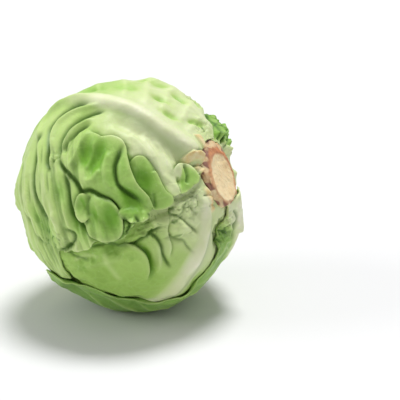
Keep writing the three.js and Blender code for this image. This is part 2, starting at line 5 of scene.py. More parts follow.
import bpy
import numpy as np
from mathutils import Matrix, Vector


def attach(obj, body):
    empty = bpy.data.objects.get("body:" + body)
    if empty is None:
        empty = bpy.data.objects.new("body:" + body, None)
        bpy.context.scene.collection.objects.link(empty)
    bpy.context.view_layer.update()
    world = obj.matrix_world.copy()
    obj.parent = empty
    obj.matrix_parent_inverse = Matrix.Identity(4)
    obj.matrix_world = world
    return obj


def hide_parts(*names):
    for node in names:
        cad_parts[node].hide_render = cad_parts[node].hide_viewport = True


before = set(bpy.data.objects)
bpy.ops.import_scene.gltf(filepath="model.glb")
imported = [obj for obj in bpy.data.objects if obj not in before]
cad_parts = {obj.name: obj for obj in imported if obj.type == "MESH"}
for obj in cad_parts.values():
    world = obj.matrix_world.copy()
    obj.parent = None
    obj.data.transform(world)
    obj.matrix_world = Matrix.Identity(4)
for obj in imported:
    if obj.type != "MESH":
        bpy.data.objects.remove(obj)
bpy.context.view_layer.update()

MM = 0.001
TINY = 1e-9
FAR = 1e6

# The head, in millimetres and degrees, as in the CAD
HEAD_RADIUS = 82.5
STEM_SIDE_SHARE = 0.86
TOP_SIDE_SHARE = 0.95
CENTRE = np.array([0.0, 0.0, 79.0])
STEM_AIM = (-22.4, 21.9)
VIEWER_AIM = (-86.8, 18.8)
LEAF_THICKNESS = 0.9
LEAF_GAP = 0.4
UNDERLAP_START = 3  # how far past a leaf's margin the leaves below it stay pressed down
UNDERLAP_REACH = 40  # where the pressure of a margin ends
UNDERLAP_RAMP = 0.3  # how fast it eases off, and how fast past the top leaf's margin
TOP_LEAF_RAMP = 0.9
PRESS_ROUNDING = 1.0  # how softly a pressed leaf meets the one over it
BASE_RISE = 2.7  # how far a leaf's base climbs towards the stem
BASE_REACH = 34
MM_PER_DEGREE = math.radians(HEAD_RADIUS)
LEVEL = 0.05  # a direction that falls by less than this doesn't meet the floor near the head

# The photograph, in its 400 x 400 pixels
PHOTO_SIDE = 400
HEAD_PIXEL = (131.5, 195.7)
MM_PER_PIXEL = 0.705
CAMERA_DISTANCE = 900.0
CAMERA_ELEVATION = 19.0
SENSOR = 36.0

RAY_STEPS = 2000
RAY_START = 1.4  # head radii before its middle

GRID_SHARE = 1.0


def aim(azimuth, elevation):
    """The unit vector of a direction."""
    a, e = math.radians(azimuth), math.radians(elevation)
    return np.array([math.cos(e) * math.cos(a), math.cos(e) * math.sin(a), math.sin(e)])


def unit(v):
    return v / np.maximum(np.linalg.norm(v, axis=-1, keepdims=True), TINY)


stem_axis = aim(*STEM_AIM)
facing = aim(*VIEWER_AIM)
facing = unit(facing - facing @ stem_axis * stem_axis)
upward = np.cross(facing, stem_axis)


def outward(polar, longitude):
    """Unit vectors from the middle of the head. Polar 0 is at the stem, longitude 0 faces the viewer."""
    p, b = np.radians(np.broadcast_arrays(polar, longitude))
    side = np.cos(b)[..., None] * facing + np.sin(b)[..., None] * upward
    return np.cos(p)[..., None] * stem_axis + np.sin(p)[..., None] * side


def polar_of(directions):
    return np.degrees(np.arccos(np.clip(directions @ stem_axis, -1, 1)))


def head_radius(polar):
    along = np.cos(np.radians(polar))
    share = np.where(along > 0, STEM_SIDE_SHARE, TOP_SIDE_SHARE)
    return HEAD_RADIUS / np.hypot(np.sin(np.radians(polar)), along / share)


def floor_radius(directions):
    """How far the floor lets a point go."""
    down = -directions[..., 2]
    return np.where(down > LEVEL, CENTRE[2] / np.maximum(down, LEVEL), FAR)


# The camera, as right, up and back vectors and a place
camera_back = aim(-90.0, CAMERA_ELEVATION)
camera_right = np.array([1.0, 0.0, 0.0])
camera_up = np.cross(camera_back, camera_right)
camera_place = (
    CENTRE
    + camera_back * CAMERA_DISTANCE
    + camera_right * (PHOTO_SIDE / 2 - HEAD_PIXEL[0]) * MM_PER_PIXEL
    - camera_up * (PHOTO_SIDE / 2 - HEAD_PIXEL[1]) * MM_PER_PIXEL
)


def seen(*pixels):
    """The directions of the places on the head that show at these pixels of the photograph."""
    found = []
    first_step = CAMERA_DISTANCE - RAY_START * HEAD_RADIUS
    steps = np.linspace(first_step, CAMERA_DISTANCE + HEAD_RADIUS, RAY_STEPS)
    for x, y in pixels:
        across = (x - PHOTO_SIDE / 2) * MM_PER_PIXEL * camera_right
        down = (y - PHOTO_SIDE / 2) * MM_PER_PIXEL * camera_up
        ray = unit(across - down - CAMERA_DISTANCE * camera_back)
        places = camera_place + steps[:, None] * ray - CENTRE
        away = np.linalg.norm(places, axis=1)
        inside = away <= head_radius(polar_of(unit(places)))
        first = inside.argmax() if inside.any() else away.argmin()
        found.append(unit(places[first]))
    return np.array(found)


def spots(*places):
    """The directions of [polar, longitude] places."""
    return outward(*np.array(places, float).T)


# Small tools
def smoothstep(x, low, high):
    t = np.clip((x - low) / (high - low), 0, 1)
    return t * t * (3 - 2 * t)


def bell(x, width):
    return np.exp(-((x / width) ** 2))


def through(pairs, x):
    """A smooth curve through (x, y) pairs, level past both ends."""
    xs, ys = np.array(pairs, float).T
    if len(xs) == 1:
        return np.full(np.shape(x), ys[0])
    x = np.clip(x, xs[0], xs[-1])
    i = np.clip(np.searchsorted(xs, x, side="right") - 1, 0, len(xs) - 2)
    before, after = np.maximum(i - 1, 0), np.minimum(i + 2, len(xs) - 1)
    step = xs[i + 1] - xs[i]
    slope0 = step * (ys[i + 1] - ys[before]) / (xs[i + 1] - xs[before])
    slope1 = step * (ys[after] - ys[i]) / (xs[after] - xs[i])
    t = (x - xs[i]) / step
    rise = 3 * t**2 - 2 * t**3
    ease = t**3 - 2 * t**2 + t
    late = t**3 - t**2
    return ys[i] * (1 - rise) + ys[i + 1] * rise + slope0 * ease + slope1 * late


def rounded_min(a, b, round_off):
    h = np.maximum(round_off - np.abs(a - b), 0) / round_off
    return np.minimum(a, b) - h * h * round_off / 4


def lattice(ix, iy, iz, seed):
    """A repeatable number between -1 and 1 for each corner of a lattice."""
    n = ix * 374761393 + iy * 668265263 + iz * 2147483647 + seed * 1274126177
    n = (n ^ (n >> 13)) * 1274126177 & 0x7FFFFFFF
    n = (n ^ (n >> 16)) & 0xFFFF
    return n / 32767.5 - 1


def noise(points, size, seed):
    """Smooth noise between about -1 and 1, with features of a given size."""
    p = np.asarray(points) / size
    base = np.floor(p).astype(np.int64)
    f = p - base
    f = f * f * (3 - 2 * f)
    total = 0.0
    for dx in (0, 1):
        for dy in (0, 1):
            for dz in (0, 1):
                wx = f[..., 0] if dx else 1 - f[..., 0]
                wy = f[..., 1] if dy else 1 - f[..., 1]
                wz = f[..., 2] if dz else 1 - f[..., 2]
                corner = lattice(base[..., 0] + dx, base[..., 1] + dy, base[..., 2] + dz, seed)
                total = total + wx * wy * wz * corner
    return total


# Folds
STEPS_PER_STRETCH = 8
FOLD_REACH = 4  # how far a fold is felt, in its own widths
FADE_SHARE = 0.16  # the share of a fold's length over which each end fades
HOLLOW_FADE_SHARE = 0.5
STUB_POWER = 6
FURROW_POWER = 1.15
EDGE_POWER = 1.3
EDGE_SOFTNESS = 0.45  # how sharply a sheet ends at an edge, in millimetres
LIP_RISE = 0.75  # the lip of an edge, as shares of its height
LIP_LEAN = 0.85
# Painted highlight on the crests of ridges and along the top of edges; on veins it is the vein's own pale
# colour
RIDGE_RIM, VEIN_RIM, EDGE_RIM = 0.2, 0.6, 0.85  # how light the crest of a fold is
# How strong the painted shade is for each millimetre of height: in a hollow, as a deeper green, and in a
# furrow and at the foot of an edge, as a darker crease
HOLLOW_SHADE, FURROW_CREASE, EDGE_CREASE = 0.42, 0.32, 0.42


class Fold:
    """A fold along a line on the head. At an edge the sheet on its left, from outside, lies on top."""

    def __init__(self, kind, height, width, places):
        self.kind, self.height, self.width = kind, height, width
        padded = np.vstack([2 * places[0] - places[1], places, 2 * places[-1] - places[-2]])
        line = []
        for i in range(len(places) - 1):
            p0, p1, p2, p3 = padded[i : i + 4]
            for t in np.arange(STEPS_PER_STRETCH) / STEPS_PER_STRETCH:
                curve = 2 * p1 + (p2 - p0) * t + (2 * p0 - 5 * p1 + 4 * p2 - p3) * t**2
                line.append(0.5 * (curve + (3 * p1 - p0 - 3 * p2 + p3) * t**3))
        line.append(places[-1])
        self.line = unit(np.array(line)) * HEAD_RADIUS
        self.middle = self.line.mean(axis=0)
        self.reach = np.linalg.norm(self.line - self.middle, axis=1).max() + FOLD_REACH * width

    def nearest(self, points):
        """Signed distance, share of the way along, and the unit vector to the left."""
        gap = np.full(len(points), np.inf)
        side = np.ones(len(points))
        along = np.zeros(len(points))
        left = np.zeros((len(points), 3))
        for i, (a, b) in enumerate(zip(self.line, self.line[1:])):
            run = b - a
            share = np.clip((points - a) @ run / (run @ run), 0, 1)
            away = np.linalg.norm(points - a - share[:, None] * run, axis=1)
            closer = away < gap
            normal = unit(np.cross(a, b))
            gap[closer] = away[closer]
            side[closer] = np.where(points[closer] @ normal < 0, -1, 1)
            along[closer] = (i + share[closer]) / (len(self.line) - 1)
            left[closer] = normal
        return gap * side, along, left


def folded(folds, directions):
    """The height that folds add, how far they lean, and their marks: painted shade in creases, painted
    highlight on crests and edges with the veins' own pale, tan stubs, and painted shade in hollows.
    """
    points = directions * HEAD_RADIUS
    height = np.zeros(len(points))
    lean = np.zeros((len(points), 3))
    crease = np.zeros(len(points))
    rim = np.zeros(len(points))
    tan = np.zeros(len(points))
    hollow_shade = np.zeros(len(points))
    for fold in folds:
        near = np.flatnonzero(np.linalg.norm(points - fold.middle, axis=1) < fold.reach)
        if not len(near):
            continue
        x, along, left = fold.nearest(points[near])
        ends = HOLLOW_FADE_SHARE if fold.kind == "hollow" else FADE_SHARE
        fade = smoothstep(along, -0.02, ends) * smoothstep(1 - along, -0.02, ends)
        size, width = fold.height, fold.width
        if fold.kind == "shoulder":
            height[near] += fade * size * bell(x, width)
        elif fold.kind == "stub":
            block = np.exp(-((np.abs(x) / width) ** STUB_POWER))
            height[near] += fade * size * block
            tan[near] += fade * block
        elif fold.kind in ("ridge", "vein"):
            height[near] += fade * size * bell(x, width)
            # Painted highlight on the crest of a ridge; on a vein, the vein's own pale colour
            rim[near] += fade * bell(x, 0.6 * width) * (RIDGE_RIM if fold.kind == "ridge" else VEIN_RIM)
        elif fold.kind == "hollow":
            height[near] -= fade * size * bell(x, width)
            # Painted shade in the hollow, as a deeper green
            hollow_shade[near] += HOLLOW_SHADE * fade * size * bell(x, width)
        elif fold.kind == "furrow":
            height[near] -= fade * size * np.exp(-((np.abs(x) / width) ** FURROW_POWER))
            # Painted shade in the furrow
            crease[near] += FURROW_CREASE * fade * size * bell(x, 0.9 * width)
        else:
            over = 0.5 * (1 + np.tanh(x / EDGE_SOFTNESS))
            lip = bell(x, 2.2 * width)
            drop = np.exp(-((np.abs(x) / width) ** EDGE_POWER))
            height[near] += fade * size * (LIP_RISE * over * lip - (1 - over) * drop)
            lean[near] -= left * (LIP_LEAN * size * fade * over * bell(x, 1.3 * width))[:, None]
            # Painted shade in the gap at the foot of the edge, and a painted highlight along the top of its
            # lip
            crease[near] += EDGE_CREASE * fade * size * (1 - over) * bell(x, 0.9 * width)
            rim[near] += EDGE_RIM * fade * over * bell(x - 0.7, 1.2)
    return height, lean, np.stack([crease, rim, tan, hollow_shade], axis=-1)


def folds_seen(*rows):
    """Folds from rows of kind, height, width and the pixels of the photograph that they run through."""
    return [Fold(kind, height, width, seen(*pixels)) for kind, height, width, *pixels in rows]


def folds_at(*rows):
    """Folds from rows of kind, height, width and the (polar, longitude) places that they run through."""
    return [Fold(kind, height, width, spots(*places)) for kind, height, width, *places in rows]


TOP_LEAF_FOLDS = folds_at(
    # The swell of the blade behind the midrib, and the valley in front of it
    ("shoulder", 4.6, 14.0, (20, 98), (34, 105), (46, 108), (60, 108), (76, 102)),
    ("shoulder", -3.4, 5.5, (22, 14), (30, 21), (37, 27), (46, 34), (52, 38), (60, 42), (70, 46)),
)
TOP_LEAF_FOLDS += folds_seen(
    # Stubs beside the stem, with cracks between them
    ("stub", 2.2, 3.0, (194, 135), (197, 141), (200, 147), (203, 153)),
    ("stub", 2.8, 3.4, (184, 163), (189, 158), (196, 158), (203, 164)),
    ("stub", 1.2, 3.0, (194, 165), (199, 171), (202, 178), (204, 186)),
    ("furrow", 1.8, 1.2, (190, 155), (196, 152), (202, 154)),
    ("furrow", 2.2, 1.1, (190, 167), (197, 166), (204, 170)),
    ("furrow", 2.2, 1.0, (196, 176), (200, 174), (205, 177)),
    # Long pleats from the midrib's far end down the left
    ("ridge", 2.0, 2.2, (96, 98), (76, 99), (58, 107), (43, 122), (38, 140), (38, 160)),
    (
        "furrow", 3.8, 2.0, (92, 103), (77, 104), (61, 112), (49, 126), (46, 139), (46, 150), (45, 163),
        (50, 174),
    ),
    ("furrow", 1.2, 0.9, (60, 156), (64, 142), (72, 129), (84, 119), (98, 114)),
    ("furrow", 1.2, 0.9, (66, 156), (69, 144), (77, 131), (87, 123)),
    ("ridge", 2.2, 2.2, (104, 105), (88, 107), (72, 112), (58, 123), (52, 138), (53, 152)),
    ("furrow", 3.2, 1.8, (106, 110), (93, 112), (79, 118), (66, 129), (59, 145), (59, 158)),
    ("ridge", 1.8, 1.7, (94, 117), (78, 124), (67, 136), (61, 150)),
    ("furrow", 2.4, 1.4, (92, 122), (77, 131), (66, 143), (63, 154)),
    # Soft swells in the pale base of the blade
    ("shoulder", 1.2, 2.6, (128, 132), (139, 140), (146, 150), (150, 160)),
    ("shoulder", 1.3, 2.6, (141, 130), (152, 146), (158, 162), (162, 178)),
    ("shoulder", 1.2, 2.4, (154, 138), (164, 150), (170, 162), (173, 176)),
    ("shoulder", 1.0, 2.0, (166, 146), (174, 156), (178, 164), (180, 172)),
    # Pleats along the left outline
    ("furrow", 3.8, 2.1, (42, 131), (37, 142), (32, 166), (31, 180), (34, 198), (41, 213), (50, 226)),
    ("furrow", 2.4, 1.7, (25, 150), (21, 170), (20, 192), (24, 212)),
    ("ridge", 1.7, 2.0, (30, 150), (26, 172), (26, 195), (32, 215), (42, 232)),
    ("furrow", 1.7, 1.5, (22, 210), (29, 222), (36, 236), (47, 247)),
    # The big lobe: its edge, the slit in its flap, its hollows and ridges
    ("ridge", 2.8, 2.2, (89, 130), (81, 144), (76, 155), (68, 170)),
    (
        "edge", 3.4, 3.6, (157, 210), (150, 203), (144, 196), (135, 186), (129, 173), (125, 160),
        (123, 148), (119, 142), (111, 139), (101, 140), (94, 135), (89, 130),
    ),
    (
        "furrow", 5.0, 1.5, (120, 146), (116, 159), (114, 169), (116, 181), (120, 187), (130, 195),
        (144, 205),
    ),
    ("hollow", 2.6, 5.0, (90, 134), (85, 155), (74, 176)),
    ("hollow", 3.0, 4.4, (106, 140), (97, 158), (86, 182)),
    ("hollow", 1.6, 4.0, (118, 184), (127, 196), (140, 210)),
    ("ridge", 1.3, 1.8, (95, 142), (91, 156), (84, 170)),
    ("ridge", 1.8, 2.4, (109, 150), (104, 165), (106, 182), (109, 191)),
    ("ridge", 1.5, 2.2, (84, 183), (92, 178), (99, 168)),
    # The long S-shaped fold, and the one to its left
    (
        "furrow", 5.2, 1.7, (56, 150), (60, 165), (67, 173), (74, 182), (80, 191), (88, 190), (95, 193),
        (104, 199), (113, 205), (119, 212),
    ),
    ("furrow", 4.8, 1.8, (62, 172), (66, 184), (68, 199), (70, 213), (76, 222), (86, 231), (94, 238)),
    # The small lobe at the left, the round lobe, and hollows
    ("edge", 2.6, 3.0, (86, 193), (79, 197), (76, 207), (79, 216), (84, 220), (89, 217)),
    (
        "edge", 2.8, 3.2, (84, 223), (90, 232), (100, 237), (110, 239), (118, 236), (121, 229),
        (120, 219), (115, 209), (106, 200), (97, 195),
    ),
    ("furrow", 2.0, 1.8, (89, 194), (87, 205), (88, 218)),
    ("ridge", 1.6, 1.8, (91, 212), (99, 228), (107, 237)),
    ("hollow", 2.2, 4.5, (104, 202), (110, 218), (108, 236)),
    ("hollow", 2.0, 4.5, (122, 198), (134, 206), (144, 214)),
    ("hollow", 3.0, 3.6, (84, 194), (80, 205), (84, 217)),
    ("hollow", 1.6, 3.2, (90, 204), (94, 216), (100, 230)),
    # The frill between the lobes
    ("edge", 3.0, 3.0, (119, 209), (121, 214), (127, 218), (137, 219), (146, 217), (150, 211)),
    # The middle lobe
    (
        "edge", 3.2, 3.0, (148, 207), (156, 209), (164, 207), (169, 203), (169, 198), (164, 193),
        (160, 187), (157, 180), (153, 172), (149, 165), (144, 160), (138, 159), (132, 161), (128, 165),
    ),
    ("furrow", 2.4, 1.1, (143, 158), (147, 164), (150, 169), (152, 174)),
    ("furrow", 1.6, 1.1, (153, 192), (155, 199), (156, 207)),
    ("hollow", 2.2, 4.6, (134, 166), (140, 174), (146, 184), (152, 196)),
    # The lobe next to the stem
    (
        "edge", 2.8, 2.6, (160, 189), (166, 193), (173, 194), (179, 191), (185, 191), (190, 187),
        (194, 180), (192, 173), (188, 167), (182, 165), (176, 168), (173, 175),
    ),
    ("furrow", 2.8, 1.1, (184, 166), (186, 172), (187, 178), (186, 184)),
    ("furrow", 1.6, 1.2, (178, 176), (179, 183), (179, 191)),
    ("shoulder", 0.9, 2.8, (162, 174), (172, 183), (182, 190)),
    ("hollow", 1.4, 3.0, (176, 176), (180, 182), (182, 188)),
    # Bunched pleats below the lobes
    ("shoulder", 1.8, 1.9, (121, 215), (125, 222), (123, 233)),
    ("furrow", 3.4, 1.1, (124, 213), (129, 220), (129, 227), (125, 235)),
    ("shoulder", 1.8, 1.9, (131, 215), (134, 222), (131, 232)),
    ("furrow", 3.4, 1.1, (134, 213), (139, 219), (140, 226), (135, 233)),
    ("shoulder", 1.6, 1.7, (141, 214), (144, 220), (141, 229)),
    ("furrow", 3.0, 1.0, (144, 212), (149, 216), (150, 222), (146, 230)),
    ("shoulder", 1.4, 1.5, (150, 212), (153, 216), (151, 224)),
    # The hooked fold at the lower left, and hollows between the pleats
    ("furrow", 3.0, 1.5, (62, 229), (72, 234), (73, 242), (66, 248), (58, 251)),
    ("ridge", 1.6, 2.4, (50, 212), (58, 226), (60, 240)),
    ("hollow", 2.0, 4.0, (56, 170), (58, 192), (64, 214)),
    ("hollow", 2.2, 3.6, (66, 200), (76, 226), (88, 246)),
    ("hollow", 1.6, 3.0, (30, 196), (36, 220), (50, 244)),
    ("hollow", 1.6, 4.0, (36, 210), (46, 230), (60, 248)),
)

TOP_LEAF_VEINS = folds_at(
    ("vein", 0.9, 3.2, (36, 60), (35, 76), (39, 96), (45, 112)),
    ("vein", 1.0, 2.8, (29, 60), (28, 78), (30, 98)),
    ("vein", 0.8, 3.2, (45, 60), (46, 74), (52, 94), (60, 116)),
    ("vein", 0.7, 3.2, (54, 62), (57, 76), (65, 95), (74, 116)),
    ("vein", 0.6, 3.0, (65, 62), (69, 77), (78, 94), (88, 112)),
    ("vein", 0.5, 3.0, (78, 64), (84, 78), (93, 92), (103, 108)),
    ("vein", 0.5, 2.6, (94, 66), (101, 80), (110, 92), (120, 104)),
    ("vein", 0.6, 2.0, (50, 84), (42, 92), (34, 99)),
    ("vein", 0.6, 2.0, (60, 84), (54, 92), (52, 104)),
    ("vein", 0.6, 2.0, (73, 84), (66, 94), (64, 106)),
)
TOP_LEAF_VEINS += folds_seen(
    ("hollow", 1.5, 5.4, (108, 87), (126, 86), (142, 91)),
    ("hollow", 1.6, 4.6, (80, 92), (95, 88), (110, 89)),
    ("hollow", 1.1, 3.6, (134, 84), (145, 82), (156, 87)),
    ("hollow", 2.6, 4.2, (148, 95), (161, 98), (174, 106)),
    ("hollow", 2.6, 3.4, (168, 94), (178, 100), (186, 110)),
    ("hollow", 3.0, 2.6, (182, 100), (190, 106), (197, 115)),
    ("hollow", 2.8, 2.6, (185, 120), (194, 124), (204, 131)),
    ("hollow", 2.0, 3.6, (152, 106), (170, 114), (188, 125)),
    ("hollow", 1.1, 3.6, (150, 86), (162, 88), (174, 92)),
)

BACK_LEAF_FOLDS = folds_at(
    # The midrib's base, and the high corner above the stem
    ("shoulder", 4.0, 6.0, (15, 208), (23, 208), (34, 206)),
    ("shoulder", 12.0, 13.0, (21, 130), (32, 124), (42, 120), (52, 116), (66, 112)),
    ("shoulder", 4.5, 8.0, (18, 152), (26, 150), (36, 146), (48, 142)),
    # The crumpled margin above the stem
    ("furrow", 2.4, 1.3, (18, 124), (24, 127), (31, 127), (40, 122), (50, 120)),
    ("ridge", 2.0, 1.5, (19, 128), (25, 131), (33, 131), (42, 127), (54, 124)),
    ("furrow", 2.6, 1.2, (18, 133), (26, 136), (34, 133), (40, 132), (48, 128)),
    ("ridge", 1.8, 1.4, (20, 138), (28, 140), (36, 138), (46, 133)),
    ("furrow", 2.2, 1.2, (18, 143), (27, 145), (36, 142), (48, 137)),
    ("furrow", 1.8, 1.0, (24, 118), (30, 126), (35, 136), (38, 146)),
    ("furrow", 1.8, 1.0, (32, 118), (38, 124), (44, 134), (46, 142)),
    ("furrow", 1.6, 1.0, (21, 132), (27, 142), (31, 152)),
)

UNDER_LEAF_FOLDS = folds_seen(
    # The leaf hugs the head below, and stands off a little at the left
    ("shoulder", -6.0, 18.0, (60, 285), (76, 296), (98, 304), (124, 308), (150, 306)),
    ("shoulder", 2.4, 8.0, (22, 240), (32, 254), (44, 268)),
)
UNDER_LEAF_FOLDS += folds_at(
    ("shoulder", 4.0, 6.0, (15, 226), (23, 226), (34, 224)),
)
UNDER_LEAF_FOLDS += folds_seen(
    # The crumpled corner below the stem
    ("shoulder", 3.2, 4.6, (235, 206), (236, 214), (235, 224), (233, 232)),
    ("furrow", 2.8, 1.5, (219, 219), (222, 227), (219, 236), (222, 246)),
    ("ridge", 2.2, 1.8, (224, 214), (228, 223), (226, 234), (229, 243)),
    ("furrow", 2.4, 1.4, (229, 208), (232, 217), (231, 228), (233, 240)),
    ("furrow", 1.8, 1.2, (216, 228), (223, 232), (231, 231)),
)

LOWER_LEAF_FOLDS = folds_seen(
    # The midrib's base, beside the stem
    ("stub", 1.0, 3.4, (203, 186), (206, 194), (209, 203), (212, 214)),
    ("furrow", 1.8, 1.0, (200, 196), (206, 195), (211, 198)),
    ("furrow", 1.4, 1.0, (204, 206), (209, 204), (214, 206)),
    # Folds along the upper margin
    ("furrow", 3.0, 1.4, (163, 225), (156, 230), (149, 234), (142, 239), (135, 245), (127, 248)),
    ("furrow", 2.6, 1.3, (88, 249), (98, 246), (110, 246), (121, 249), (130, 248)),
    ("furrow", 2.4, 1.2, (58, 250), (66, 253), (73, 257), (80, 260), (90, 262)),
    ("ridge", 1.4, 2.2, (60, 247), (70, 251), (80, 255), (92, 257)),
    ("shoulder", -1.6, 9.0, (96, 262), (106, 274), (112, 288)),
    # The broad fold in the middle, and the ridge beside it
    (
        "edge", 2.6, 2.8, (148, 282), (148, 270), (146, 260), (141, 253), (134, 248), (126, 247),
        (116, 248),
    ),
    ("hollow", 2.6, 3.0, (134, 242), (146, 253), (151, 268), (152, 284)),
    ("ridge", 3.0, 2.0, (139, 237), (147, 236), (154, 241), (159, 249), (160, 259), (158, 274)),
    ("furrow", 3.4, 1.3, (148, 233), (156, 238), (161, 246), (163, 255), (167, 263), (172, 270)),
    # Small folds beside the midrib
    (
        "edge", 2.4, 2.2, (171, 258), (170, 246), (168, 239), (166, 231), (167, 222), (169, 212),
        (171, 203),
    ),
    ("furrow", 2.2, 1.2, (168, 212), (173, 215), (180, 217), (188, 224), (194, 229), (198, 233)),
    ("furrow", 1.8, 1.2, (167, 233), (172, 238), (178, 240), (184, 241), (188, 247), (194, 253)),
    ("furrow", 1.5, 1.6, (180, 217), (184, 211), (186, 204), (190, 200)),
    ("furrow", 1.3, 1.5, (190, 204), (194, 211), (198, 214)),
    ("ridge", 1.5, 2.6, (178, 219), (184, 226), (191, 232), (197, 240)),
    ("shoulder", 1.6, 4.5, (172, 222), (178, 229), (184, 236)),
    ("shoulder", 1.4, 3.5, (187, 215), (193, 220), (198, 226)),
    # Faint veins at the lower left
    ("vein", 0.6, 3.4, (103, 252), (109, 268), (121, 284)),
    ("vein", 0.7, 2.0, (72, 262), (84, 258), (100, 258)),
    ("ridge", 1.4, 4.0, (84, 268), (96, 266), (110, 262), (124, 258)),
)
LOWER_LEAF_FOLDS += folds_at(
    ("furrow", 2.2, 1.5, (24, -82), (29, -88), (35, -86), (41, -92)),
    ("furrow", 2.0, 1.5, (22, -92), (27, -100), (34, -98), (40, -104)),
)

HEART_FOLDS = folds_at(
    # Edges of the outer leaves of the heart, then their veins
    ("edge", 1.3, 4.0, (118, 150), (132, 128), (146, 112), (160, 86), (170, 20), (166, -60)),
    ("edge", 1.2, 4.0, (122, 236), (136, 222), (150, 206), (163, 170), (172, 110)),
    ("edge", 1.2, 4.0, (124, -16), (138, -28), (152, -44), (164, -80), (172, -140)),
    ("vein", 1.2, 2.6, (112, 186), (128, 184), (144, 178), (160, 166), (172, 140)),
    ("vein", 1.0, 2.2, (120, -74), (138, -84), (156, -98), (168, -120)),
    ("vein", 1.0, 2.2, (124, 40), (140, 34), (156, 24), (168, 0)),
)


# What a leaf has unless it says otherwise
LEAF_DEFAULTS = {
    "folds": [],
    "veins": None,  # count, first, step, sweep, height and width of the side veins
    "corner": (22, 3),  # how far the end's corners stay back, and how sharply
    "crumples": [],  # place, reach, size and height of the crumpled stretches
    "streaks": 0,
    "pale_from": 24,  # the leaf is pale round the stem up to here, and green from pale_to on
    "pale_to": 60,
    "pale_share": 0.8,
    "white_share": 1.15,  # how wide the white of the midrib is, in widths of the midrib
    "far_pale": 0,  # how pale the front blade stays towards the far end
    "high_pale": 1,  # how pale the blade behind the midrib is round the stem
    "lobes_below": None,  # the line under which the blade is green right up to the stem
}
CRINKLES = [(17, 0.5), (7, 0.3), (3, 0.14)]  # size and height
FRILL_SIZES = (7, 3.5)
VEIN_STOPS = (0.04, 0.3, 0.6, 0.94)  # shares of the way from the midrib to the margin
END_WAVE = 2.2
RIB_FADE = [(18, 0.35), (28, 0.95), (40, 0.86), (70, 0.62), (100, 0.36), (135, 0.1)]
# Painted shade on the low side of a midrib, which faces away from the light
FLANK_PAINTED_SHADE = 0.4  # how dark the low side of a midrib is


